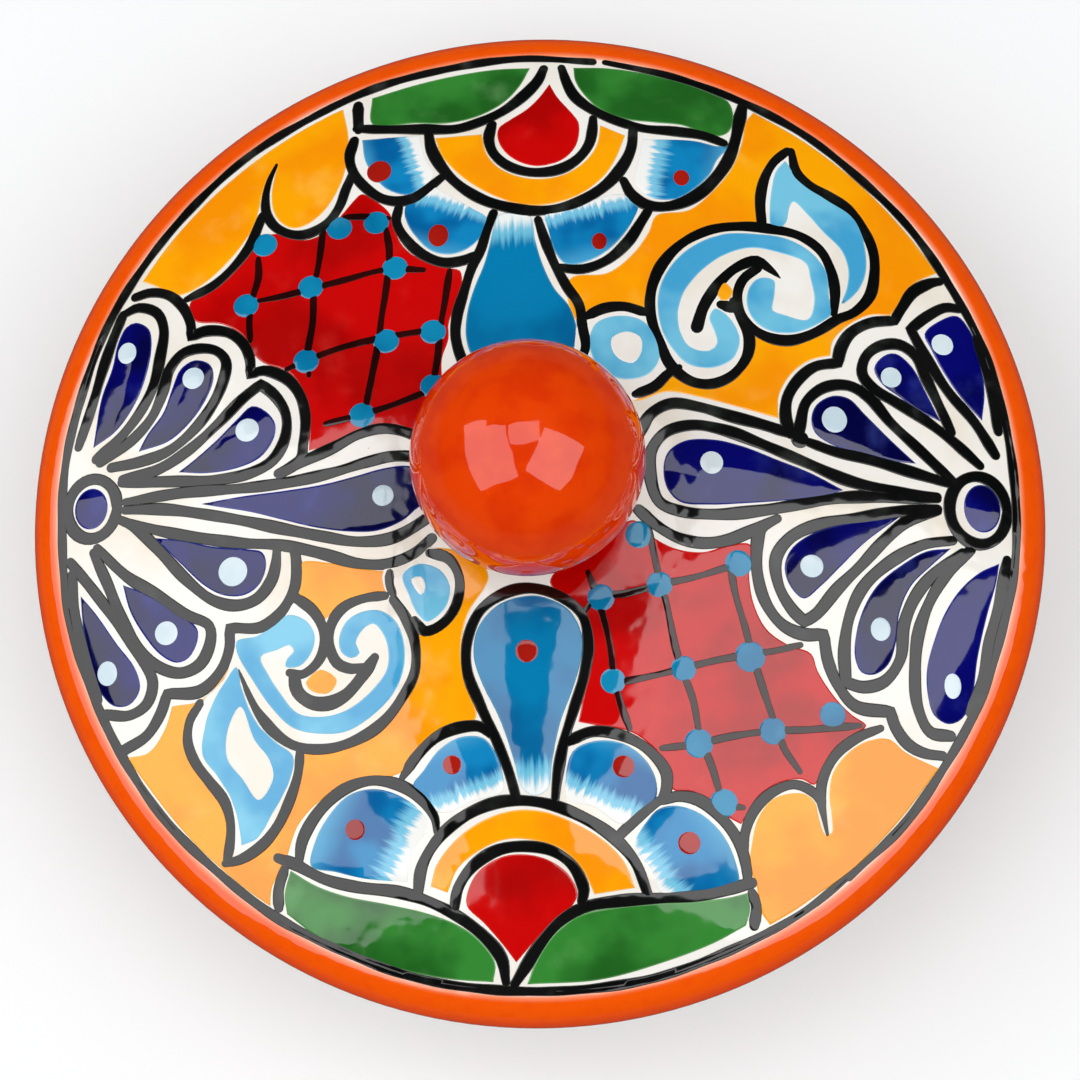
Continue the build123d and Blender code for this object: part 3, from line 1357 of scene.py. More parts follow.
@dataclass(frozen=True)
class FarFlower:
    """The flower at the far edge of the lid, its leaves against the ring."""

    def leaves(self) -> Marks:
        """Two green leaves that lie along the ring.

        Returns:
            The marks.
        """
        left = ((-41.5, 106.5), (-41.5, 106.5), (-41, 98.5), (-30, 98.2), (-22, 97.8), (-14.5, 99.5),
                (-8, 103.5), (-4, 108.5), (-1.5, 114), (-1.5, 114), (-10, 113.8), (-20, 112.3),
                (-30, 110))
        right = ((9.5, 114), (9.5, 114), (10, 110), (12, 106), (16, 101.5), (22, 98.5), (30, 97.5),
                 (37, 96.8), (42, 94.7), (46, 94), (48.5, 95.5), (49.7, 100), (48.5, 104.5), (45, 106.5),
                 (38, 109.5), (28, 112.3), (18, 113.9))
        return [
            Pad(Tint.GREEN, left, ((-40, 103), (-5, 108))),
            Pad(Tint.GREEN, right, ((12, 112), (48, 100))),
            Line(((-45, 104.5), (-44.8, 101), (-44.5, 97)), 3.4),
            Line(((-45, 97.5), (-38, 96.8), (-28, 96.3), (-20, 96), (-14, 97.8), (-8, 101), (-3, 105.5),
                  (0.5, 110), (2, 113.8)), 3.1),
            Line(((6.5, 114), (8, 109), (10, 105), (14, 101.3), (20, 98), (27, 95.7), (35, 95), (42, 94),
                  (47, 92)), 3.0),
        ]

    def heart(self) -> Marks:
        """The red drop, the two arches round it and the yellow between them.

        Returns:
            The marks.
        """
        drop = ((3.5, 109), (3.5, 109), (5.5, 105), (8.5, 101), (10.8, 97.5), (11, 94), (10, 90),
                (7, 86.5), (3, 84.9), (0, 84.7), (-4, 86), (-7.5, 89), (-9.3, 93), (-9, 96), (-6, 98.5),
                (-2, 101.5), (1, 105))
        arch = ((-25, 93.5), (-25, 93.5), (-23, 88), (-18, 82), (-12, 77.5), (-5, 74.3), (0, 73.5),
                (6, 74.3), (12, 77), (17, 81.5), (20, 86.5), (22.5, 93.5), (22.5, 93.5), (16.3, 96.5),
                (16.3, 96.5), (15.5, 91), (13, 86.5), (8, 82.5), (2, 81), (-4, 81.8), (-9, 84.5),
                (-12, 88.5), (-13.3, 94.2), (-13.3, 94.2))
        return [
            Pad(Tint.RED, drop, ((3, 108), (0, 86))),
            Pad(Tint.YELLOW, arch, ((-24, 90), (22, 90))),
            Line(((-10.8, 97), (-11.5, 93), (-10.5, 89), (-7.5, 85.5), (-3, 83.3), (2, 82.8), (7, 84),
                  (11, 87), (13.5, 91), (14.3, 95), (14.5, 98.5)), 3.0),
            Line(((-26.7, 95), (-25.7, 90), (-22.5, 84), (-18, 79), (-12, 75), (-5, 72.7), (0, 72),
                  (6, 72.6), (12, 75), (18, 79.5), (22, 85), (24, 90), (24.5, 95.5)), 3.2),
        ]

    def outer_petals(self) -> Marks:
        """The two petals beside the arch.

        Returns:
            The marks.
        """
        left = ((-43.5, 94), (-43.5, 94), (-42.5, 88), (-40.5, 84), (-37, 79.5), (-32, 77.5),
                (-28.5, 78.8), (-25, 83), (-27, 87), (-29, 94.5), (-29, 94.5))
        right = ((49, 91.5), (49, 91.5), (45.3, 87), (43.5, 83), (40, 79), (36, 76), (32, 75.2),
                 (28.5, 76), (25, 80), (25.5, 85), (26.8, 92.5), (26.8, 92.5), (40, 92.3), (45.5, 91))
        return [
            Pad(Tint.PETAL, left, ((-43.5, 84), (-26.5, 89.5))),
            Pad(Tint.PETAL, right, ((48, 82), (24, 86))),
            Dot(Tint.GARNET, (-38.7, 84.5), (3.2, 3.2)),
            Dot(Tint.GARNET, (36.3, 81.5), (2.1, 2.4)),
            Line(((-45.5, 94), (-46.5, 89), (-45, 84), (-42, 80), (-38, 76.8), (-34, 75.7), (-30, 76.3),
                  (-27, 78.5), (-22.5, 82.5)), 3.0),
            Line(((52, 103), (51, 98), (50, 93), (48, 87), (45, 82), (41, 77.5), (36, 74.3), (31, 73.2),
                  (27, 74), (24, 76.5), (22, 80.5)), 3.4, 0.7),
        ]

    def inner_petals(self) -> Marks:
        """The two petals beside the teal drop.

        Returns:
            The marks.
        """
        left = ((-32, 73.5), (-31.5, 70), (-29, 65.5), (-25, 61.5), (-20, 60.5), (-16, 62), (-13.5, 64.5),
                (-11.5, 70), (-15, 72.8), (-21, 76.8), (-26.5, 80), (-30, 77.5))
        right = ((25.5, 73.5), (24.5, 70), (22, 65.5), (18, 61), (13, 58), (8, 57.3), (5.5, 60),
                 (3.5, 67), (2.8, 71), (10, 72.5), (17, 76), (22, 76.5))
        return [
            Pad(Tint.PETAL, left, ((-26, 60), (-19, 79))),
            Pad(Tint.PETAL, right, ((16, 57), (11, 77))),
            Dot(Tint.GARNET, (-23.5, 65.7), (2.7, 3.3)),
            Dot(Tint.GARNET, (16, 63.5), (2.0, 2.5)),
            Line(((-33.5, 74), (-34, 70), (-31.5, 65), (-27, 60.5), (-22, 58.3), (-17, 58.8),
                  (-13.5, 60.5)), 2.9, 0.8),
            Line(((28.5, 73), (26, 68.5), (23, 63.5), (18, 58.5), (12, 56), (5.5, 56.5)), 2.9, 0.8),
        ]

    def stem(self) -> Marks:
        """The teal drop that runs in under the knob.

        Returns:
            The marks.
        """
        drop = ((-5, 71.5), (-8.6, 71), (-10, 67), (-11, 62), (-12.3, 57), (-14.5, 51), (-16, 45),
                (-16.2, 38), (-14, 32), (-9, 28), (-3, 26.5), (3, 28), (8, 32), (10.5, 38), (9, 45.5),
                (5, 51), (2.3, 57), (0.3, 64), (-1, 70.5))
        return [
            Pad(Tint.TEAL, drop, ((-5, 71.5), (-3, 26))),
            Line(((-10, 71.5), (-11.5, 67), (-13, 61.5), (-15, 57), (-17, 50), (-18.5, 44), (-18.7, 38),
                  (-16, 30.5), (-10.5, 25.6), (-3, 23.8), (4.5, 25.4), (10, 30), (12.6, 35.5), (12, 40),
                  (11, 46.5), (8, 51.5), (5, 57.5), (2.5, 64.5), (1, 69.5)), 2.8),
        ]

    def marks(self) -> Marks:
        """The whole flower."""
        return self.leaves() + self.heart() + self.outer_petals() + self.inner_petals() + self.stem()


@dataclass(frozen=True)
class NearFlower:
    """The flower at the near edge of the lid."""

    def leaves(self) -> Marks:
        """Two green leaves that lie along the ring.

        Returns:
            The marks.
        """
        left = ((-58, -88.5), (-58, -88.5), (-59.5, -94), (-59, -98.5), (-59, -98.5), (-50, -105),
                (-40, -109), (-30, -112), (-20, -113.8), (-10, -114.5), (-10, -114.5), (-9.5, -110),
                (-13, -105), (-18, -101.5), (-25, -98.8), (-35, -96.5), (-45, -94.5), (-52, -92))
        right = ((-2, -115), (-2, -115), (0, -110), (4, -104), (10, -99.5), (18, -97.5), (28, -96.5),
                 (38, -96), (46, -95), (50, -94), (50, -94), (50.5, -98), (49.5, -101.5), (49.5, -101.5),
                 (42, -105.5), (30, -110), (15, -114))
        return [
            Pad(Tint.GREEN, left, ((-58, -94), (-10, -112))),
            Pad(Tint.GREEN, right, ((0, -112), (50, -98))),
            Line(((-61, -85.5), (-57, -87), (-50, -90.5), (-42, -92.5), (-32, -93.8), (-25, -96),
                  (-18, -99.5), (-12, -104), (-8, -109), (-7, -114.5)), 3.0),
            Line(((-59.5, -88), (-61, -93), (-61, -97)), 3.0),
            Line(((-5, -115), (-3, -112), (1, -106), (6, -100.5), (12, -97.3), (20, -96), (30, -95.3),
                  (40, -94.5), (51, -91.7)), 3.0),
            Line(((51, -94), (52, -97), (51.5, -101.5)), 3.0),
        ]

    def heart(self) -> Marks:
        """The red drop, the two arches round it and the yellow between them.

        Returns:
            The marks.
        """
        drop = ((-16, -97), (-15.5, -93), (-13, -89), (-8, -86), (-3, -85.3), (3, -86.5), (8, -90),
                (10, -94.5), (8, -98), (4, -101), (0, -105), (-4.5, -110), (-4.5, -110), (-8, -105.5),
                (-12, -101))
        arch = ((-24.5, -92.5), (-24.5, -92.5), (-23, -87.5), (-18, -81.5), (-12, -77.5), (-5, -75.3),
                (2, -75.5), (9, -78), (16, -82), (21, -87), (23.5, -93), (23.5, -93), (14, -94.5),
                (14, -94.5), (11, -88.5), (6, -84), (-1, -82), (-7, -82), (-13, -84.5), (-18, -88.5),
                (-20.5, -94), (-20.5, -94))
        return [
            Pad(Tint.RED, drop, ((-4, -110), (-4, -86))),
            Pad(Tint.YELLOW, arch, ((-24, -90), (23, -90))),
            Line(((-19, -98), (-18, -93), (-14.5, -88), (-9, -84.5), (-3, -83.5), (4, -84.5), (9, -88),
                  (11.5, -93.5), (11, -96)), 2.9),
            Line(((-27.5, -94), (-26.5, -88), (-22.5, -81.5), (-16, -76.3), (-9, -73.5), (-3, -73), (4, -74),
                  (11, -76.7), (18, -81), (23.5, -87), (26.5, -94.5)), 3.0),
        ]

    def outer_petals(self) -> Marks:
        """The two petals beside the arch.

        Returns:
            The marks.
        """
        left = ((-53, -87.5), (-52, -82), (-49, -76.5), (-44, -71.5), (-38, -70), (-32, -71.5),
                (-27, -75), (-24.8, -79), (-28.5, -84), (-30, -91.5), (-30, -91.5), (-40, -90.6),
                (-47, -89))
        right = ((27, -77), (29.5, -74.8), (33.5, -74.2), (39, -76), (44, -80.5), (47, -86.5),
                 (47.8, -92), (44, -93.2), (36, -93.8), (29.5, -94), (27.5, -89), (23.5, -83.5))
        return [
            Pad(Tint.PETAL, left, ((-52, -77), (-27, -89))),
            Pad(Tint.PETAL, right, ((45, -77), (24, -92))),
            Dot(Tint.GARNET, (-42.3, -79.3), (2.5, 2.5)),
            Dot(Tint.GARNET, (36.3, -82.7), (2.8, 2.8)),
            Line(((-56, -87), (-55, -81.5), (-51, -75), (-45, -70), (-38, -68), (-31, -69.5), (-26, -73),
                  (-23.3, -77), (-23, -80)), 3.0, 0.5),
            Line(((30, -73), (34, -72), (39, -73), (44, -77), (48, -82.5), (49.7, -88), (50, -91.5)), 3.0),
        ]

    def inner_petals(self) -> Marks:
        """The two petals beside the teal drop.

        Returns:
            The marks.
        """
        left = ((-28.5, -69.5), (-26, -66), (-22, -61), (-17, -58.3), (-12, -58.5), (-9.5, -61), (-7.5, -66),
                (-7.5, -71), (-14, -73), (-21.5, -75.8), (-26, -72.5))
        right = ((8.5, -63), (10, -61), (15, -59.3), (21, -60), (26, -63.5), (28.5, -68), (28.5, -72.5),
                 (25, -75.5), (20.5, -78.5), (14, -74.5), (8, -72.8), (7.5, -68))
        return [
            Pad(Tint.PETAL, left, ((-19, -56), (-12, -75))),
            Pad(Tint.PETAL, right, ((22, -57), (13, -77))),
            Dot(Tint.GARNET, (-19.2, -64.7), (2.4, 2.4)),
            Dot(Tint.GARNET, (21, -65.2), (2.8, 2.8)),
            Line(((-31, -67.5), (-27.5, -62.5), (-22.5, -58), (-17, -56), (-12.5, -56), (-10, -58)), 2.9,
                  0.7, 0.6),
            Line(((8, -59.5), (14, -57.2), (21, -58.2), (27, -61.5), (31, -66.5), (31, -70.5),
                  (30, -72.5)), 2.9),
            Line(((30, -72.5), (26, -75.5), (21, -80), (19, -82)), 2.6),
        ]

    def stem(self) -> Marks:
        """The teal drop that comes out under the knob.

        Returns:
            The marks.
        """
        drop = ((-1, -25.5), (-8, -27.5), (-13, -33), (-14, -39.5), (-12, -46), (-8.5, -53), (-6.5, -58),
                (-4.6, -64), (-2.8, -70), (0, -72), (3.2, -70.5), (4.4, -63.5), (6.3, -55), (9, -48),
                (11, -41.5), (11.5, -35), (8.5, -29), (3, -26))
        return [
            Pad(Tint.TEAL, drop, ((0, -72), (-1, -26))),
            Dot(Tint.GARNET, (-1.5, -38.5), (2.8, 2.8)),
            Line(((-4, -73), (-6, -66), (-9, -58.5), (-12.5, -51), (-15.5, -43.5), (-15.5, -36),
                  (-12.5, -29), (-7, -25), (-1, -23.7), (6, -25.5), (11.5, -30), (13, -37), (12, -44),
                  (9.5, -52), (7, -60), (5.5, -68), (5, -72.5)), 2.8),
        ]

    def marks(self) -> Marks:
        """The whole flower."""
        return self.leaves() + self.heart() + self.outer_petals() + self.inner_petals() + self.stem()


@dataclass(frozen=True)
class LeftFan:
    """The cobalt fan that opens from the left edge, inside a scalloped line."""

    def hub(self) -> Marks:
        """The round eye at the edge.

        Returns:
            The marks.
        """
        return [
            Line(oval((-108.6, 0.0), 6.5, 7.5), 3.2),
            Pad(Tint.COBALT, oval((-108.9, 0.0), 4.3, 5.1)[:-1]),
        ]

    def petals(self) -> Marks:
        """Six short petals and the long one, each with its pale dot.

        Returns:
            The marks.
        """
        shapes = (
            ((-109, 15.5), (-109, 15.5), (-108.5, 20), (-107.5, 28), (-105, 36), (-104, 42), (-102, 46.5),
             (-99.5, 47.5), (-96, 45.5), (-95, 41), (-96, 33), (-98.5, 26), (-103, 19.5)),
            ((-97, 13.5), (-97, 13.5), (-95, 17.5), (-91, 23), (-89, 29), (-87, 34), (-83.5, 36),
             (-79.5, 34.5), (-78.5, 31), (-80, 26), (-84, 20), (-89.5, 15.5)),
            ((-86.5, 7.5), (-86.5, 7.5), (-83, 10), (-77, 15), (-72, 20), (-68.5, 23), (-65, 21.5),
             (-62.5, 18), (-63, 14), (-66, 10), (-71, 7.8), (-79, 6.8)),
            ((-80.5, -0.8), (-80.5, -0.8), (-70, 0.5), (-60, 1.3), (-50, 2.5), (-42, 4.3), (-36, 5.8),
             (-30, 6.3), (-25.5, 4.5), (-24, 1), (-25, -2), (-28, -4.5), (-31, -7), (-37, -9.3),
             (-44, -9.3), (-52, -8), (-60, -5.8), (-68, -3.5), (-76, -1.8)),
            ((-92, -8.5), (-92, -8.5), (-85, -9.5), (-77, -11.5), (-69, -12.5), (-65, -13.5), (-64, -16.5),
             (-65.5, -21), (-69, -23.5), (-74, -23.5), (-79, -21), (-85, -15.5)),
            ((-100, -19.5), (-100, -19.5), (-93, -22.5), (-86, -27), (-81, -31), (-80.8, -34), (-83, -38),
             (-86, -39), (-90, -37), (-94, -32.5), (-98, -26)),
            ((-111, -21.5), (-111, -21.5), (-107, -26), (-101.5, -33.5), (-96.5, -40), (-95.3, -45),
             (-98, -48.5), (-102, -48.5), (-105.5, -45), (-108, -38), (-110, -30)),
        )
        dots = (
            ((-101.3, 39.5), (2.6, 3.0)), ((-83.7, 31.3), (3.0, 3.0)), ((-69.5, 17), (3.2, 3.2)),
            ((-35.8, -0.8), (2.7, 2.7)), ((-72.2, -17.8), (3.8, 3.8)), ((-88.7, -31.8), (3.1, 3.1)),
            ((-103.7, -40.7), (2.8, 3.2)),
        )
        return [Pad(Tint.COBALT, shape, (shape[0], shape[6])) for shape in shapes] + [
            Dot(Tint.PALE, spot, size) for spot, size in dots
        ]

    def outlines(self) -> Marks:
        """The black lines round the petals.

        Returns:
            The marks.
        """
        routes = (
            ((-113, 16), (-110, 26), (-107.5, 36), (-105.5, 43), (-103, 50)),
            ((-103, 50), (-99, 51.5), (-94, 49.5), (-92, 45), (-92.5, 38), (-94, 30), (-97.5, 23),
             (-102.5, 17), (-108, 12.5)),
            ((-107, 11.5), (-99, 16.5), (-94, 22), (-91.5, 28), (-90, 34), (-87, 37.8), (-83, 39),
             (-78, 38), (-75.5, 35), (-76, 30), (-78.5, 24), (-83, 18), (-89.5, 13), (-97, 10.8),
             (-104, 10)),
            ((-101, 6.8), (-92, 8.5), (-84, 13), (-77, 19), (-71, 25), (-66.5, 28.5), (-66.5, 28.5),
             (-63, 25.5), (-60, 20.5), (-60, 14.5), (-63, 9), (-69, 6), (-77, 5), (-88, 5.3), (-101, 6)),
            ((-100, 1), (-85, 2.3), (-70, 2.5), (-58, 3.5), (-48, 5.3), (-40, 7.5), (-33, 8.8), (-27, 8),
             (-22.5, 4.8), (-21.2, 0.5), (-23, -4.5), (-28, -8.5), (-34, -11.3), (-42, -11.8),
             (-50, -10.3), (-60, -8), (-70, -5.5), (-80, -3.3), (-90, -1.5), (-100, -1)),
            ((-61.5, 5.7), (-55, 8.5), (-48, 11.5), (-42, 14.5), (-36, 15.8), (-30, 14.5), (-24, 11.5)),
            ((-100, -4), (-90, -7), (-80, -9.3), (-70, -11), (-60, -12), (-50, -14.5), (-42, -17),
             (-34, -17.3), (-28, -15), (-24, -11.5)),
            ((-61.5, -12.5), (-61.5, -15), (-62.5, -20), (-66, -24.5), (-71, -26), (-77, -24.5),
             (-84, -19), (-91, -11.5), (-98, -5), (-102, -3)),
            ((-107, -10), (-99, -17.5), (-91, -22.5), (-84, -27.5), (-78, -30.5), (-77.5, -34), (-80, -39.5),
             (-85, -41.5), (-91, -39.5), (-96, -34.5), (-100.5, -27), (-104, -19), (-108, -11)),
            ((-114, -13), (-108, -20), (-101, -29), (-94.5, -38), (-92, -43.5), (-93.5, -48.5),
             (-98, -51), (-104, -50.5)),
            ((-113.5, -16), (-112, -28), (-109, -38), (-106, -47)),
            ((-100, 54.5), (-96, 55.3), (-91, 54), (-87, 50), (-85, 45.5), (-84.8, 42.3), (-84.8, 42.3),
             (-81, 43.5), (-75, 42.5), (-71, 39), (-69.3, 34.5), (-69.3, 31), (-69.3, 31), (-66, 32),
             (-60, 29.5), (-56.5, 25), (-55, 19), (-55.5, 12.5), (-56, 9), (-61, 5.5)),
            ((-60, -12), (-57.5, -13), (-56.5, -17.5), (-57, -22.5), (-60, -28), (-65, -31.5),
             (-72.8, -31.3), (-72.8, -31.3), (-72.7, -36), (-75, -41.5), (-80, -46), (-88.3, -46.3),
             (-88.3, -46.3), (-90, -51), (-93.5, -56), (-99.5, -59.3)),
        )
        return [Line(route, 3.0, 0.85) for route in routes]

    def marks(self) -> Marks:
        """The whole fan."""
        return self.hub() + self.petals() + self.outlines()


@dataclass(frozen=True)
class RightFan:
    """The cobalt fan that opens from the right edge."""

    def hub(self) -> Marks:
        """The oval eye at the edge.

        Returns:
            The marks.
        """
        return [
            Line(oval((107.2, -2.2), 7.2, 8.4), 3.2),
            Pad(Tint.COBALT, oval((108.2, -1.7), 4.6, 5.9)[:-1]),
        ]

    def petals(self) -> Marks:
        """Six short petals and the long one, each with its pale dot.

        Returns:
            The marks.
        """
        shapes = (
            ((112, -15), (112, -15), (107, -17.5), (102, -22), (98, -28), (95.5, -34), (93.5, -41),
             (93.5, -47), (95, -52), (98.5, -54), (102, -52.5), (104.5, -47), (106, -38), (108.5, -28),
             (111, -20)),
            ((100, -12), (100, -12), (94, -13), (88, -16.5), (82, -21.5), (78.5, -27), (76.5, -33),
             (76, -39), (77.5, -42.5), (80.5, -43), (84, -40.5), (86, -35), (87, -28), (90, -21.5),
             (95, -16.5)),
            ((87.5, -5), (87.5, -5), (80, -6), (73, -7.5), (66, -10), (61, -14), (59.5, -18.5), (61, -23),
             (64, -25.5), (68, -22.5), (73, -17.5), (79, -11.5)),
            ((74, 1), (74, 1), (66, 5), (58, 8), (50, 11), (43, 12.5), (36, 12), (32, 9), (31, 4.5),
             (32, 0), (35, -3), (42, -3.5), (50, -3), (60, -2), (70, -0.3)),
            ((92, 8.5), (92, 8.5), (86, 14), (80, 20), (76, 24), (72, 24.5), (68, 22), (66.7, 18.5),
             (67.5, 15), (72, 12), (80, 10.3), (88, 8.7)),
            ((98.5, 19.5), (98.5, 19.5), (93, 22), (88, 25.5), (84.5, 28), (82.5, 32), (85, 35.5),
             (88, 36.3), (92, 33), (95, 27)),
            ((109, 20.5), (109, 20.5), (104, 26), (100, 32), (97, 38), (95.5, 42), (99, 45.5),
             (104, 47.5), (107, 44), (109, 38), (110, 28)),
        )
        dots = (
            Dot(Tint.PALE, (99.7, -45), (2.2, 3.2)),
            Dot(Tint.PALE, (82.3, -32.2), (2.6, 3.0)),
            Dot(Tint.PALE, (66, -17.7), (3.0, 3.0)),
            Dot(Tint.PALE, (42.5, 6.8), (2.9, 2.9)),
            Dot(Tint.PALE, (72.3, 18.5), (3.3, 3.5)),
            Dot(Tint.PALE, (86.6, 30), (2.8, 2.8)),
            Dot(Tint.PALE, (99.8, 39.5), (3.0, 3.0), 30),
        )
        return [Pad(Tint.COBALT, shape, (shape[0], shape[7])) for shape in shapes] + list(dots)

    def outlines(self) -> Marks:
        """The black lines round the petals.

        Returns:
            The marks.
        """
        routes = (
            ((105, -12), (99, -18), (94.5, -25), (91.5, -33), (90.5, -42), (91, -50), (94, -56),
             (99, -56.8)),
            ((114, -14), (112, -24), (109, -34), (107, -44), (104, -51)),
            ((100.5, -10), (93, -11.5), (85, -16), (78.5, -22), (75, -29), (73.5, -37), (73.7, -45),
             (73.7, -45), (78, -46), (83, -44.5), (87, -39), (88, -31), (91, -24), (96, -18), (103, -13)),
            ((97, -2.5), (88, -3.5), (78, -5.5), (68, -7.5), (61, -11), (57.5, -16), (58, -22.5),
             (61, -28), (64, -31), (64, -31), (67, -29), (72, -23), (78, -17), (84, -10.5), (90, -5.5),
             (97, -3)),
            ((97, 0.5), (85, 1.5), (75, 3.5), (65, 7.5), (55, 11.5), (46, 14.8), (38, 16), (31.5, 14),
             (28, 9), (28, 2.5), (30, -3), (35, -5.2), (44, -5.8), (55, -4.5), (65, -2.5), (75, -0.7),
             (97, 0)),
            ((61.5, 14.5), (55, 16.5), (47, 18.5), (40, 20.5), (33, 21.3), (28, 18.5), (25.5, 14)),
            ((58, -6.5), (52, -9.5), (46, -12), (40, -12.8), (34, -11.5), (29, -8.5), (25, -5)),
            ((101, 4.5), (93, 12), (86, 18.5), (81, 24.5), (76, 27.3), (70, 26.5), (65.5, 22.5), (64, 17),
             (63, 13)),
            ((66, 12.5), (72, 10.5), (80, 9), (90, 6.5), (100, 4)),
            ((108, 9), (101, 15), (94, 20), (87, 24), (82, 27), (79.5, 30.5), (80.5, 35), (84, 38),
             (89, 38.7), (93, 36), (95.5, 30), (99, 22), (101, 17)),
            ((112, 12), (107, 20), (101, 27), (96, 35), (92, 43), (92, 43), (96, 46.5), (101, 49.5),
             (104.5, 49.5)),
            ((113, 18), (112, 28), (109.5, 38), (108.8, 42)),
            ((100, 56.5), (98, 56), (93, 53), (90, 48.5), (88, 45), (88, 45), (82, 44), (77, 41),
             (74.5, 37), (73.5, 33), (73.5, 33), (68, 31.8), (64, 28.5), (61, 23.5), (60.5, 18.5),
             (61.5, 14.5)),
            ((57, -7), (54, -9), (53, -13), (53, -20), (55, -27), (59, -32), (64, -34), (68.6, -33.8),
             (68.6, -33.8), (69.5, -40), (72, -46), (76, -50.5), (84.4, -51.6), (84.4, -51.6),
             (85.5, -55), (88.5, -59), (92.5, -61), (97, -61.5)),
        )
        return [Line(route, 3.1, 0.85) for route in routes] + [Dot(Tint.BLACK, (63.8, 13.2), (2.2, 2.2))]

    def marks(self) -> Marks:
        """The whole fan."""
        return self.hub() + self.petals() + self.outlines()


@dataclass(frozen=True)
class FarNet:
    """The red net field and the yellow lobes at the upper left."""

    def lobes(self) -> Marks:
        """Two yellow lobes between the ring and the net.

        Returns:
            The marks.
        """
        field_line = ((-98.4, 58.7), (-98.4, 58.7), (-93.7, 66), (-88.9, 72.3), (-80.8, 81.3),
                      (-70.8, 90.1), (-61, 97), (-52.7, 101.8), (-48.8, 103.7), (-48.8, 103.7), (-47, 95),
                      (-47, 90), (-47.5, 85), (-49, 80), (-52, 74.5), (-56, 70.8), (-60, 69.8),
                      (-63, 71.5), (-65.2, 75), (-66, 80), (-65.5, 85), (-65, 88), (-65, 88), (-67, 85),
                      (-68.5, 80), (-69, 76), (-70, 71.5), (-73, 66), (-77, 61), (-82, 56.5), (-87, 54),
                      (-90, 54), (-94, 56.5))
        return [
            Pad(Tint.YELLOW, field_line, ((-90, 60), (-55, 95))),
            Line(((-86.5, 52.5), (-80, 55.5), (-75, 60), (-71, 65.5), (-69, 71), (-68, 74)), 2.8, 0.9, 0.7),
            Line(((-65.2, 88.5), (-66.8, 84), (-67.5, 79), (-67, 74.5), (-64.5, 70.5), (-60, 68), (-56, 68),
                  (-51.5, 70.5), (-48.5, 75), (-47, 80), (-45.5, 84)), 2.8, 1.0, 0.3),
        ]

    def field_pad(self) -> Marks:
        """The red field, which runs in under the knob.

        Returns:
            The marks.
        """
        edge = ((-85.5, 51.5), (-78, 55.5), (-72, 62), (-69, 68.5), (-69, 68.5), (-63, 68.5), (-57, 66.3),
                (-52, 68), (-48, 72.5), (-44.5, 77), (-43, 78.3), (-38, 75), (-35.5, 72), (-34.5, 68),
                (-32, 63), (-28, 59.5), (-22, 57), (-18, 56), (-17.5, 52), (-19, 47), (-20.5, 42),
                (-20.5, 38), (-22, 33), (-22, 24), (-25, 15), (-29, 15), (-33, 16.5), (-38, 15.5),
                (-44, 14), (-50, 12), (-54, 11), (-54, 11), (-54, 14), (-54.5, 21), (-56.5, 27),
                (-60, 31.5), (-66, 34), (-69, 37), (-72, 42), (-77, 45), (-84, 46.5))
        return [Pad(Tint.RED, edge, ((-80, 50), (-22, 20)))]

    def net(self) -> Marks:
        """The dark net with a turquoise dot at each crossing.

        Returns:
            The marks.
        """
        routes = (
            ((-68.5, 62), (-68.2, 57), (-69.5, 51), (-70, 45), (-69.5, 40)),
            ((-52.3, 69), (-53, 60), (-54, 53), (-54, 44), (-55, 35.5), (-54.5, 30)),
            ((-36.5, 68), (-35.5, 62), (-36, 52), (-37, 44), (-37.5, 38), (-39, 29), (-40.5, 20)),
            ((-20.5, 56), (-21.5, 48), (-22.5, 41), (-23, 34), (-24, 27)),
            ((-47, 72), (-42, 71.8), (-36, 71)),
            ((-68, 50.5), (-62, 51.3), (-54, 53), (-46, 54.8), (-36, 57), (-27, 56.5)),
            ((-60, 32), (-55, 34), (-46, 37), (-36, 39), (-25, 40.5)),
            ((-50, 17.5), (-41, 19.5), (-34, 21.5), (-26, 24.5)),
        )
        dots = ((-67, 65.7), (-48.2, 69), (-39, 70), (-71, 49.5), (-54.8, 53.3), (-34, 57.3), (-55.3, 33.8),
                (-35.7, 38), (-24.3, 40), (-41.2, 19.3), (-24, 26))
        return [Line(route, 1.9, tint=Tint.NET) for route in routes] + [
            Dot(Tint.TURQUOISE, spot, (3.3, 3.2)) for spot in dots
        ]

    def marks(self) -> Marks:
        """The whole field."""
        return self.lobes() + self.field_pad() + self.net()


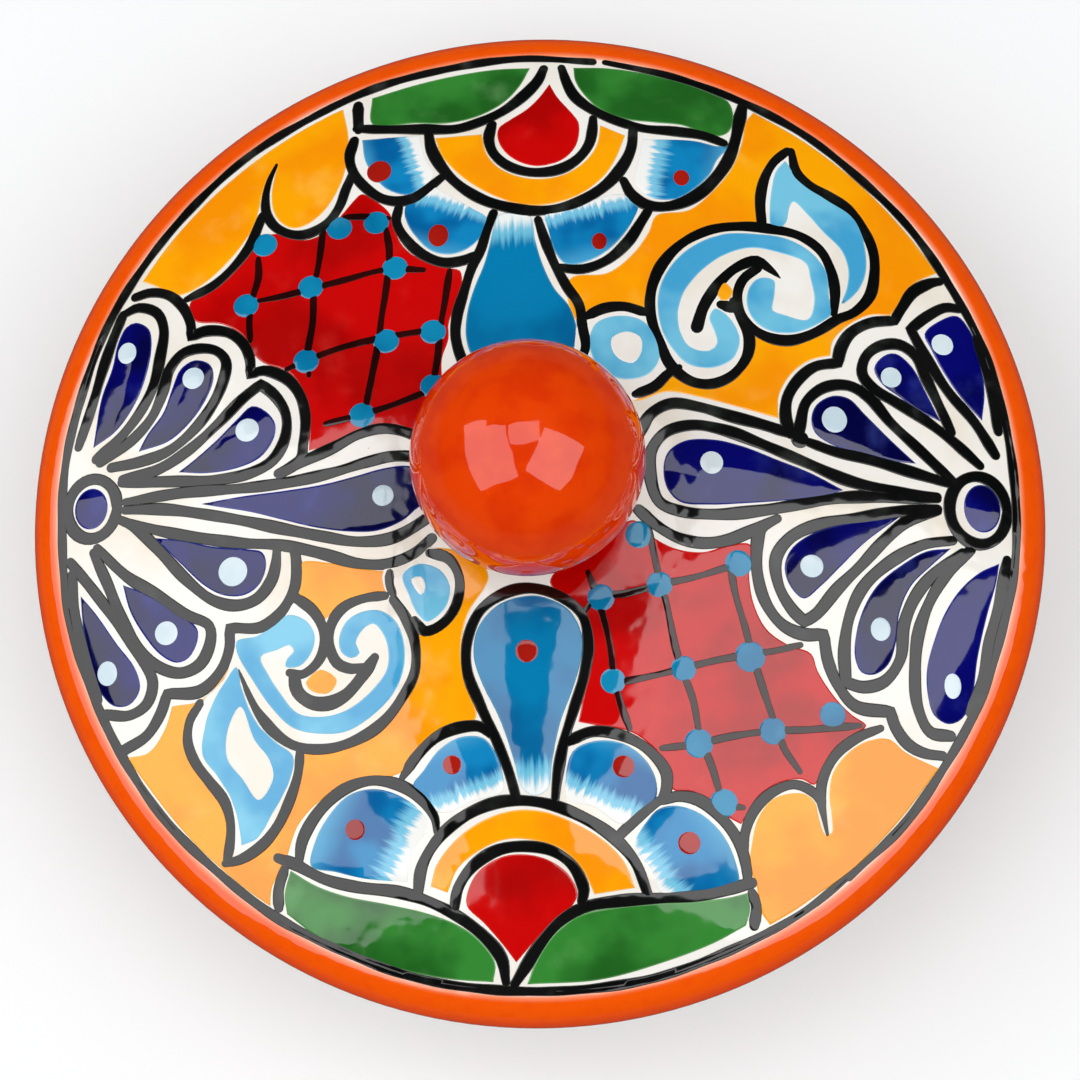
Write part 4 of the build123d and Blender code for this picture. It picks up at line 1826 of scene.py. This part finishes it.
@dataclass(frozen=True)
class NearNet:
    """The red net field and the yellow lobes at the lower right."""

    def lobes(self) -> Marks:
        """Two yellow lobes between the ring and the net.

        Returns:
            The marks.
        """
        edge = ((55.2, -101.3), (55.2, -101.3), (53, -98), (52, -92), (50.5, -88), (51, -83), (52.5, -77),
                (56, -72.5), (61, -71), (64, -71.3), (66, -73), (67, -77), (68.5, -80.5), (70, -80),
                (70, -76), (69.5, -71), (70.5, -66), (74, -61.5), (79, -58.5), (84, -58), (88, -61),
                (96, -64.5), (96, -64.5), (91, -71), (87, -76), (80, -83.5), (75, -88.5), (67.2, -93.8),
                (60.5, -98.3))
        return [
            Pad(Tint.YELLOW, edge, ((90, -66), (56, -92))),
            Line(((49, -86), (49.5, -80), (52, -74.5), (56.5, -70.5), (61.5, -69), (66, -71),
                  (67.5, -73.5)), 2.6, 0.6),
            Line(((82, -55.5), (76, -58), (71, -62), (68, -67.5), (67.5, -72), (68.3, -77), (69, -80.5)),
                  2.6, 0.3),
        ]

    def field_pad(self) -> Marks:
        """The red field, which runs in under the knob.

        Returns:
            The marks.
        """
        edge = ((4, -22.5), (12, -29), (13.5, -35), (13.5, -42), (12, -48), (10.5, -55), (10.5, -55),
                (16, -56), (22, -57), (27, -60), (31, -65), (32.5, -70.5), (37, -71), (42, -74),
                (46, -77), (48.5, -78.3), (48.5, -78.3), (50, -76), (53, -71.5), (58, -68.5), (63, -67.8),
                (66, -69), (68, -65), (71, -60.5), (75, -57.5), (78.5, -55), (75, -52.5), (71, -48.5),
                (67, -42.5), (65.5, -38.5), (60, -36.5), (55, -33), (52, -27), (51, -20), (51.5, -13),
                (47, -13), (40, -15), (33, -14), (27, -10.5), (24, -7.5), (20, -9), (12, -14))
        return [Pad(Tint.RED, edge, ((10, -25), (75, -55)))]

    def net(self) -> Marks:
        """The dark net with a turquoise dot at each crossing.

        Returns:
            The marks.
        """
        routes = (
            ((13, -20), (15.5, -27), (18, -37), (19, -45), (20.5, -51), (22.5, -56.5)),
            ((27.5, -10), (29.5, -20), (31.5, -28), (33.5, -38), (35, -43), (37.5, -50), (39, -58),
             (42, -66), (44, -73)),
            ((46.5, -17), (47.5, -24), (50, -33), (51.5, -39), (54, -47), (57, -56), (59, -61), (62.5, -66)),
            ((12, -29.5), (15, -26), (22, -25), (30, -22.8), (38, -21), (47.5, -18)),
            ((19, -46), (27, -44.5), (35, -42.5), (43, -40.5), (51, -39), (57, -38), (63, -36.5)),
            ((30, -61), (38, -60), (47, -58), (56, -56.7), (64, -56.3), (72, -55.5), (77, -55)),
            ((44, -74), (46.5, -74.2), (49, -74.5)),
        )
        dots = (
            ((25, -11), 3.0), ((16, -26), 3.0), ((29.8, -22.8), 2.9), ((48.5, -17.5), 3.0),
            ((18.7, -45.5), 2.8), ((35.3, -42.5), 2.8), ((51, -39.5), 3.4), ((38.7, -59.8), 3.2),
            ((56.2, -56.7), 3.0), ((70.5, -52.7), 2.9), ((44.5, -73.5), 3.1),
        )
        return [Line(route, 1.9, tint=Tint.NET) for route in routes] + [
            Dot(Tint.TURQUOISE, spot, (size * 1.1, size * 1.1)) for spot, size in dots
        ]

    def marks(self) -> Marks:
        """The whole field."""
        return self.lobes() + self.field_pad() + self.net()


@dataclass(frozen=True)
class FarScroll:
    """The sky blue scroll on yellow at the upper right."""

    def ground(self) -> Marks:
        """The yellow ground, with the white that the scroll stands on.

        Returns:
            The marks.
        """
        yellow = ((54.8, 101.5), (54.8, 101.5), (65.3, 95), (73, 89.2), (81, 82), (88.7, 73.6),
                  (95.4, 64.8), (99.3, 58.7), (99.3, 58.7), (93, 55), (90, 50), (87, 46.3), (87, 46.3),
                  (82, 46), (76.5, 43), (72.5, 38.5), (71.8, 34.8), (71.8, 34.8), (66.5, 33.2),
                  (62, 29.5), (59, 24), (58.7, 18.2), (58.7, 18.2), (50, 20.5), (40, 23), (32, 24.2),
                  (24, 22), (20, 30), (9, 45), (9, 53.5), (18, 55), (24, 60), (28, 66), (30, 70.8),
                  (38, 72.5), (44, 78), (49, 85), (51.5, 92), (53, 99))
        white = ((63.5, 90.5), (63.5, 90.5), (59.5, 87), (57, 82), (55.8, 76), (56, 68.5), (50, 68.3),
                 (43, 67), (36, 63), (31, 57), (28.5, 50), (28.5, 43), (30.5, 37), (33, 31), (38, 27),
                 (43, 26.5), (48, 29), (51.5, 34), (52.5, 38.5), (57, 38.8), (62, 38.3), (68, 40.5),
                 (74, 44.5), (78, 46.5), (82, 51), (83.5, 57), (83.5, 63), (81.5, 69), (78, 74.5),
                 (73, 78), (68, 81), (65, 84.5))
        small = ((12, 44), (17, 45.8), (23, 45.8), (28, 43.5), (30, 38), (33, 31), (30, 26), (24, 22),
                 (16, 24), (10, 36))
        return [
            Pad(Tint.YELLOW, yellow, ((60, 95), (30, 30))),
            Pad(Tint.WHITE, white),
            Pad(Tint.WHITE, small),
            Pad(Tint.YELLOW_TOUCH, ((46.2, 53), (44.6, 50.4), (45.2, 48.4), (47, 48.2), (48.4, 50.5))),
        ]

    def paint(self) -> Marks:
        """The blue band of the curl, its leaf and the small ring.

        Returns:
            The marks.
        """
        band = ((72, 50), (71.5, 57), (68, 62), (62, 65.5), (54, 66.5), (46, 66), (38, 62), (33, 56.5),
                (30.3, 50), (30.3, 43), (32.3, 37), (37, 31.5), (43, 30.5), (48, 33), (49.8, 38),
                (48.5, 42), (46, 45), (44, 46), (42.5, 43.5), (43.5, 40.5), (44.3, 37), (42.5, 35),
                (37.5, 36), (35, 42), (36, 49), (40, 55), (46, 60), (53, 62.5), (60, 61.5), (66.5, 59),
                (67.5, 55), (68.3, 49), (66.5, 44), (60, 45.2), (58, 46), (58.5, 50), (58.5, 54),
                (55, 54.5), (52.5, 52), (51.7, 47.5), (53.5, 43), (58, 40.3), (64, 40.5), (70, 43.5),
                (72.5, 45.8))
        leaf = ((62.3, 87.5), (62.3, 87.5), (65, 84), (70, 79.5), (76, 76), (80, 71), (81.5, 64),
                (81.3, 57), (79, 52), (75, 48.5), (76.5, 53), (77, 58), (75.5, 63), (71, 68), (67, 73),
                (64, 76), (63, 74.5), (62, 70), (60.5, 68.5), (58.3, 68.7), (58, 73), (58.8, 80),
                (60, 84.5))
        ring = ((13.5, 36), (15, 41.5), (20, 43.6), (26, 42.6), (29.5, 38.5), (30.4, 33), (27.5, 28.5),
                (21.5, 27.3), (16, 30))
        eye = ((19, 38), (22.5, 39.6), (25.8, 38.2), (26.2, 34.5), (24, 31.4), (20.5, 32.5), (18.8, 35))
        return [
            Pad(Tint.SKY, band, ((50, 66), (50, 32))),
            Pad(Tint.SKY, leaf, ((62, 88), (76, 50))),
            Pad(Tint.SKY, ring),
            Pad(Tint.WHITE_TOUCH, eye),
        ]

    def outlines(self) -> Marks:
        """The black lines of the scroll.

        Returns:
            The marks.
        """
        return [
            Line(((73, 46), (73.5, 52), (72.5, 58), (70, 63), (65, 66.5), (58, 68), (50, 68.3), (43, 67),
                  (36, 63), (31, 57), (28.5, 50), (28.5, 43), (30.5, 37), (33, 31), (38, 27), (43, 26.5),
                  (48, 29), (51.5, 34), (52, 39), (50, 44), (48.5, 48)), 3.1, 0.8),
            Line(((54.5, 57), (51, 54), (49.5, 50), (50, 45), (53, 41), (57, 38.8), (62, 38.3),
                  (68, 40.5), (74, 44.5), (78, 46.5), (82, 51), (83.5, 57), (83.5, 63), (81.5, 69),
                  (78, 74.5), (73, 78), (68, 81), (65, 84.5), (64, 90.5)), 3.1),
            Line(((63, 90.5), (59.5, 87), (57, 82), (55.8, 76), (56, 68.5)), 3.0),
            Line(((39.5, 41), (41, 46), (43.5, 50.5), (47, 55), (51, 58), (54.5, 59), (57.5, 57),
                  (60.5, 54.3)), 3.3, 0.3, 1.2),
            Line(((45.5, 47), (49, 46)), 3.1),
            Line(((13, 43.5), (17, 45.5), (22, 46), (27, 44.5)), 3.0),
            Line(((24.5, 23.5), (29, 25.5), (32.5, 29), (35, 30.5)), 3.0),
        ]

    def marks(self) -> Marks:
        """The whole scroll."""
        return self.ground() + self.paint() + self.outlines()


@dataclass(frozen=True)
class NearScroll:
    """The sky blue scroll on yellow at the lower left."""

    def ground(self) -> Marks:
        """The yellow ground, with the white that the scroll stands on.

        Returns:
            The marks.
        """
        yellow = ((-98.5, -61), (-98.5, -61), (-93, -60), (-89, -55), (-87, -49.3), (-87, -49.3),
                  (-80, -48.2), (-74, -42.5), (-71.8, -37), (-71, -33.5), (-71, -33.5), (-65, -33),
                  (-58, -28.5), (-55.5, -22), (-55.5, -16.5), (-48, -16.8), (-40, -18.5), (-34, -18.8),
                  (-26, -14), (-14, -16), (-10.5, -21), (-15.5, -30), (-17, -38), (-16, -45),
                  (-13.5, -54), (-19, -56), (-25, -60), (-30, -65.5), (-33, -67), (-43, -68.5),
                  (-50, -72), (-56, -78), (-59.5, -87), (-62.5, -92), (-63.1, -96.6), (-63.1, -96.6),
                  (-68.6, -92.8), (-77.7, -85.3), (-86, -76.9), (-93.9, -67.1))
        white = ((-74, -87.5), (-74, -87.5), (-72.7, -82), (-72.5, -77), (-74, -72), (-77.5, -67.5),
                 (-81, -63), (-83, -58), (-82.5, -53), (-79.5, -48.5), (-74, -43), (-72, -37), (-72, -33),
                 (-65, -32.5), (-57.5, -26), (-52.5, -26.5), (-49.5, -30), (-46.5, -27), (-40, -25),
                 (-34.5, -24.5), (-31.5, -27.5), (-30, -30.5), (-28, -36), (-28, -43), (-31, -49),
                 (-36, -55), (-43, -59), (-50, -60.5), (-55.5, -60.5), (-56, -66), (-58, -72), (-61, -78),
                 (-65, -82.5), (-70, -85.5))
        small = ((-35.5, -19), (-34, -26), (-28, -33), (-24.5, -34), (-20.5, -31.5), (-17.5, -27),
                 (-17, -21), (-20, -15.5), (-26, -13.5))
        diamond = ((-54, -45), (-50.5, -42), (-46.5, -44.6), (-48.5, -47.5), (-52.5, -47))
        return [
            Pad(Tint.YELLOW, yellow, ((-90, -60), (-20, -25))),
            Pad(Tint.WHITE, white),
            Pad(Tint.WHITE, small),
            Pad(Tint.YELLOW_TOUCH, diamond),
        ]

    def paint(self) -> Marks:
        """The blue band of the curls, the leaf and the small ring.

        Returns:
            The marks.
        """
        band = ((-71, -37), (-71, -34.5), (-66, -33.5), (-62, -31), (-58.5, -28.8), (-54.5, -30),
                (-52, -33.5), (-52.5, -37.5), (-55.5, -41), (-59, -41), (-58.5, -39), (-57, -37.5),
                (-58, -36), (-61, -37), (-65, -38.5), (-63, -43), (-60, -47.5), (-56, -52), (-50, -53),
                (-44, -51.5), (-38, -47), (-34.5, -42), (-34.5, -36.5), (-36.5, -32.5), (-38, -31.5),
                (-40.5, -33), (-42, -36), (-41, -38.3), (-43, -39.5), (-45.5, -38), (-46, -34.5),
                (-44, -30.5), (-40, -28.5), (-36, -28.5), (-32.5, -31), (-30.5, -36), (-30.5, -42),
                (-33, -48), (-38, -53), (-44, -56.5), (-50, -57), (-57, -55.5), (-62, -51), (-67, -44))
        leaf = ((-71, -40.5), (-74, -44), (-77, -49), (-79, -55), (-79.5, -61), (-76, -66), (-73, -70.5),
                (-71, -76), (-70, -82.5), (-70, -82.5), (-66, -81), (-62, -75), (-58, -68), (-57, -62),
                (-62, -58), (-66.5, -53), (-69.5, -46))
        inside = ((-70, -50), (-73, -55), (-73.3, -62), (-69.5, -67), (-65.5, -72), (-62, -67), (-63, -62.5),
                  (-66.5, -58))
        ring = ((-31, -20), (-27, -17.5), (-22, -19), (-19.5, -23), (-20.5, -28), (-25, -31.5),
                (-27, -30), (-29.5, -25))
        eye = ((-28.8, -21.2), (-26.5, -20.6), (-25.4, -23.2), (-26.5, -25))
        return [
            Pad(Tint.SKY, band, ((-65, -40), (-35, -45))),
            Pad(Tint.SKY, leaf, ((-75, -50), (-68, -80))),
            Pad(Tint.WHITE_TOUCH, inside),
            Pad(Tint.SKY, ring),
            Pad(Tint.WHITE_TOUCH, eye),
        ]

    def outlines(self) -> Marks:
        """The black lines of the scroll.

        Returns:
            The marks.
        """
        return [
            Line(((-57, -24.5), (-52.5, -28), (-50, -32), (-49.5, -36), (-51, -40), (-55, -43),
                  (-58, -42.5)), 3.0),
            Line(((-35, -25), (-40, -25.5), (-45, -27.5), (-48, -31.5), (-48.5, -36), (-46.5, -40.5),
                  (-43, -42), (-40, -41.5)), 3.0),
            Line(((-57, -43), (-56, -47), (-53, -49.5), (-49, -50), (-45, -48.5), (-41, -44.5),
                  (-37.5, -39.5)), 3.7, 0.7),
            Line(((-71, -40), (-69, -45), (-66, -51), (-62, -56), (-57, -59.5), (-50, -60.5), (-43, -59),
                  (-36, -55), (-31, -49), (-28, -43), (-28, -36), (-30, -30.5), (-33, -26)), 3.0, 1.0,
                  0.4),
            Line(((-80, -49), (-82.5, -53), (-83, -58), (-81, -63), (-77.5, -67.5), (-74, -72), (-72.5, -77),
                  (-72.7, -82), (-73.5, -86)), 3.0),
            Line(((-55.5, -61), (-56, -66), (-58, -72), (-61, -78), (-65, -82.5), (-70, -85.5),
                  (-74, -86.5)), 3.0),
            Line(((-34, -19.5), (-34, -22.3), (-33, -25)), 3.0),
            Line(((-24.5, -15), (-20, -16.5), (-17.5, -21), (-18, -27), (-21, -31.5), (-25.5, -33.5),
                  (-28, -31)), 3.0),
        ]

    def marks(self) -> Marks:
        """The whole scroll."""
        return self.ground() + self.paint() + self.outlines()


@dataclass(frozen=True)
class RingLine:
    """The black line that closes the painted field, with the two joins of the brush."""

    radius: float = 116.7
    width: float = 2.4
    first_join: float = 81.9  # degrees
    second_join: float = -49.6
    stride: float = 9.0  # degrees between its points
    wander: tuple[float, ...] = (0.0, 0.25, -0.15, 0.1, -0.2, 0.2, -0.05)  # of the hand

    def stroke(self, start: float, end: float) -> Line:
        """One pull of the brush.

        Args:
            start: The angle where it starts, in degrees.
            end: The angle where it ends.

        Returns:
            The line.
        """
        steps = round(abs(end - start) / self.stride)
        route = []
        for i in range(steps + 1):
            angle = math.radians(start + (end - start) * i / steps)
            radius = self.radius + self.wander[i % len(self.wander)]
            route.append((radius * math.cos(angle), radius * math.sin(angle)))
        return Line(route, self.width, 0.7, 0.8)

    def marks(self) -> Marks:
        """The two pulls of the brush that make the ring.

        Returns:
            The marks.
        """
        return [
            self.stroke(self.first_join + 1, self.second_join + 360 + 1),
            self.stroke(self.second_join - 1, self.first_join - 0.5),
        ]


@dataclass(frozen=True)
class DishBand:
    """The painted band round the dish: a row of cobalt drops under yellow arches."""

    around: float  # length of the band, in millimetres
    low: float
    high: float
    count: int = 24
    gap: float = 1.5  # from its lower line up to the arches' feet
    headroom: float = 4.0  # what the arches leave free of the band's height
    outer: Point = (1.7, 0.92)  # an arch's sides and top: in from its share of the band, and up it
    inner: Point = (4.6, 0.66)
    dot_size: Point = (1.9, 1.9)

    def hump(self, middle: float, half: float, foot: float, top: float) -> list[Point]:
        """An arch from its left foot over its top to its right foot.

        Args:
            middle: Its place along the band.
            half: Half its width.
            foot: The height of its feet.
            top: The height of its top.

        Returns:
            Its points.
        """
        angles = [math.radians(180 - 30 * step) for step in range(7)]
        return [(middle + half * math.cos(a), foot + (top - foot) * math.sin(a) ** 0.8) for a in angles]

    def motif(self, middle: float) -> Marks:
        """One arch with its drop.

        Args:
            middle: Its place along the band.

        Returns:
            The marks.
        """
        half = self.around / self.count / 2
        foot, rise = self.low + self.gap, self.high - self.low - self.headroom
        hollow = rise * self.inner[1]
        outer = self.hump(middle, half - self.outer[0], foot, foot + rise * self.outer[1])
        inner = self.hump(middle, half - self.inner[0], foot, foot + hollow)[::-1]
        arch = [outer[0], *outer, outer[-1], inner[0], *inner, inner[-1]]
        drop = [
            (middle, foot + rise * 0.56),
            (middle - half * 0.28, foot + rise * 0.3),
            (middle - half * 0.2, foot + rise * 0.08),
            (middle, foot + 0.2),
            (middle + half * 0.2, foot + rise * 0.08),
            (middle + half * 0.28, foot + rise * 0.3),
        ]
        return [
            Pad(Tint.YELLOW, arch),
            Pad(Tint.COBALT, drop),
            Dot(Tint.TURQUOISE, (middle + half, foot + rise * 0.86), self.dot_size),
            Line(self.hump(middle, half, foot - 0.8, foot + rise * 1.04), 2.0),
            Line(self.hump(middle, half - 5.6, foot - 0.8, foot + hollow - 0.9), 1.6),
        ]

    def marks(self) -> Marks:
        """The row of arches between two lines.

        Returns:
            The marks.
        """
        steps = self.count * 2
        edges = []
        for height in (self.low - 0.6, self.high + 0.8):
            wavy = [height + 0.12 * math.sin(i * 1.7) for i in range(steps + 1)]
            edges.append(Line([(self.around * i / steps, rise) for i, rise in enumerate(wavy)], 1.8))
        marks: Marks = list(edges)
        for number in range(self.count):
            marks += self.motif(self.around * (number + 0.5) / self.count)
        return marks


# The lid's motifs, in the order that they are painted
MOTIFS = (FarNet, NearNet, FarScroll, NearScroll, FarFlower, NearFlower, LeftFan, RightFan, RingLine)
PLAN_RADIUS = 125.0  # of the lid that the painted pattern was drawn for
BAND_LOW = 21.0  # heights of the dish's band
BAND_HIGH = 38.0


@dataclass(frozen=True)
class Viewpoint:
    """The camera of the photograph, fitted to the lid's outline, ring and knob."""

    distance: float = 650.0
    focal: float = 2624.0  # in pixels of the photograph
    frame_width: float = 1080.0  # pixels
    tilt: float = 12.78  # degrees off straight down
    turn: float = 8.95  # degrees round the upright axis
    aside: Point = (2.9, 24.5)  # pixels from the middle of the frame to the target
    target_height: float = 57.0
    film: float = 36.0
    near: float = 0.01  # metres; what is nearer, or farther than the next, isn't seen
    far: float = 20.0

    def place(self) -> None:
        """Sets up the camera."""
        tilt, turn_by = math.radians(self.tilt), math.radians(self.turn)
        back = Vector(
            (
                math.sin(turn_by) * math.sin(tilt),
                -math.cos(turn_by) * math.sin(tilt),
                math.cos(tilt),
            )
        )
        where = back * self.distance + Vector((0, 0, self.target_height))
        look = -back
        right = look.cross(Vector((0, 1, 0))).normalized()
        up = right.cross(look)
        look = (look + right * self.aside[0] / self.focal - up * self.aside[1] / self.focal).normalized()
        right = (right - look * right.dot(look)).normalized()
        up = right.cross(look)
        lens = bpy.data.cameras.new("camera")
        lens.lens = self.focal / self.frame_width * self.film
        lens.sensor_width = self.film
        lens.clip_start, lens.clip_end = self.near, self.far
        camera = bpy.data.objects.new("camera", lens)
        bpy.context.scene.collection.objects.link(camera)
        pose = Matrix((right, up, -look)).transposed().to_4x4()
        pose.translation = where * MM
        camera.matrix_world = pose
        bpy.context.scene.camera = camera


@dataclass(frozen=True)
class Lamp:
    """A soft box: where it stands, what it points at, how large and how bright."""

    name: str
    place: tuple[float, float, float]
    size: Point
    power: float
    aim: tuple[float, float, float] = (0.0, 0.0, 0.06)
    shift: Point = (0.0, 0.0)  # moves it sideways in its own plane

    def put(self) -> None:
        """Puts the lamp in the scene."""
        light = bpy.data.lights.new(self.name, "AREA")
        light.shape = "RECTANGLE"
        light.size, light.size_y = self.size
        light.energy = self.power
        lamp = bpy.data.objects.new(self.name, light)
        facing = (Vector(self.aim) - Vector(self.place)).to_track_quat("-Z", "Y")
        lamp.location = Vector(self.place) + facing @ Vector((*self.shift, 0.0))
        lamp.rotation_euler = facing.to_euler()
        bpy.context.scene.collection.objects.link(lamp)


@dataclass(frozen=True)
class Studio:
    """A pale floor, a pale world and soft boxes."""

    floor_colour: Colour = srgb(246, 249, 250)
    floor_shade: Colour = srgb(242, 245, 246)
    mirrored_floor: Colour = srgb(76, 72, 68)  # dull, so that the glaze stays deep
    floor_size: float = 3.0  # half its width, in metres
    fade: Point = (0.4, 1.2)  # where the floor starts to fade and where it is gone
    side_light: float = 0.46
    ceiling_light: float = 0.6
    ceiling: Point = (0.62, 0.86)  # how high the ceiling starts and where it is full
    seen_in_gloss: float = 0.045  # share of the room that the glaze mirrors
    seen_light: float = 0.93  # what the camera sees behind the floor
    lamps: tuple[Lamp, ...] = (
        Lamp("right_window", (0.69, -0.3, 1.3), (1.2, 1.1), 7.4),
        Lamp("left_window", (-0.88, -0.16, 1.28), (1.5, 1.2), 9.0, shift=(0.1, 0.0)),
        Lamp("left_window_end", (-0.88, -0.16, 1.28), (0.24, 0.72), 0.87, shift=(-0.77, -0.24)),
        Lamp("skylight", (-0.02, 0.25, 1.4), (0.67, 0.46), 1.5),
    )

    def floor(self) -> None:
        """The plain floor that the dish stands on."""
        bm = bmesh.new()
        bmesh.ops.create_grid(bm, x_segments=2, y_segments=2, size=self.floor_size)
        mesh = finished(bm, "floor")
        floor = bpy.data.objects.new("floor", mesh)
        bpy.context.scene.collection.objects.link(floor)
        recipe = Recipe("floor_paper")
        shade = recipe.mix(self.floor_colour, self.floor_shade, recipe.grain(3.0))
        mirrored = recipe.node("ShaderNodeLightPath", output="Is Glossy Ray")
        shade = recipe.mix(shade, self.mirrored_floor, mirrored)
        mesh.materials.append(recipe.paper(shade, *self.fade, self.seen_light))

    def world(self) -> None:
        """A pale room with a darker ceiling, white where the camera sees it."""
        recipe = Recipe("studio", True)
        height = recipe.axis(recipe.node("ShaderNodeTexCoord", output="Generated"), "Z")
        room = height.step(*self.ceiling, self.side_light, self.ceiling_light)
        camera = recipe.node("ShaderNodeLightPath", output="Is Camera Ray")
        mirrored = recipe.node("ShaderNodeLightPath", output="Is Glossy Ray")
        light = room * (1.0 + mirrored * (self.seen_in_gloss - 1.0))
        strength = light + camera * (self.seen_light - light)
        sky = recipe.node("ShaderNodeBackground", None, {"Color": (1.0, 1.0, 1.0), "Strength": strength})
        recipe.node("ShaderNodeOutputWorld", sockets={"Surface": sky})
        bpy.context.scene.world = recipe.made

    def build(self) -> None:
        """Sets the stage."""
        self.floor()
        self.world()
        for lamp in self.lamps:
            lamp.put()
        bpy.context.scene.view_settings.view_transform = "Standard"


def lid_ground(lid: Lid) -> Ground:
    """The lid's upper side as a ground; its plan is the view from above.

    Args:
        lid: The lid.

    Returns:
        The ground.
    """
    def spot(plan: Point) -> Vector:
        """The place on the lid over a point of the plan."""
        return Vector((plan[0], plan[1], lid.height(math.hypot(*plan))))

    return Ground(lid.radius / PLAN_RADIUS, spot, lid.steepness, lambda plan: Vector((1.0, 0.0, 0.0)))


def wall_ground(dish: Dish) -> Ground:
    """The dish's wall as a ground; its plan runs round the wall and up it.

    Args:
        dish: The dish.

    Returns:
        The ground.
    """
    middle = dish.wall_at(BAND_LOW)
    slope = math.atan2(dish.lean, dish.rim_foot - dish.floor_foot)

    def turned(plan: Point) -> float:
        """The angle round the dish at a place along the band."""
        return plan[0] / middle

    def spot(plan: Point) -> Vector:
        """The place on the wall."""
        radius = dish.wall_at(plan[1])
        return Vector((radius * math.cos(turned(plan)), radius * math.sin(turned(plan)), plan[1]))

    def facing(plan: Point) -> Vector:
        """The way the wall faces there."""
        level = math.cos(slope)
        return Vector((level * math.cos(turned(plan)), level * math.sin(turned(plan)), -math.sin(slope)))

    def sideways(plan: Point) -> Vector:
        """The way round the wall."""
        return Vector((-math.sin(turned(plan)), math.cos(turned(plan)), 0.0))

    return Ground(1.0, spot, facing, sideways)


def main() -> None:
    """Builds the camera, the studio and the warmer, in that order."""
    logging.basicConfig(level=logging.INFO, format="%(message)s")
    Viewpoint().place()
    Studio().build()
    lid, dish, palette = Lid(), Dish(), Palette()
    dish.build()
    lid.build()
    painting = Brushwork("lid_paint", lid_ground(lid), Body.LID, palette)
    for motif in MOTIFS:
        painting.add(motif().marks())
    painting.build()
    band_ground = wall_ground(dish)
    band = Brushwork("dish_paint", band_ground, Body.DISH, palette)
    band.add(DishBand(math.tau * dish.wall_at(BAND_LOW), BAND_LOW, BAND_HIGH).marks())
    band.build()


if __name__ == "__main__":
    main()
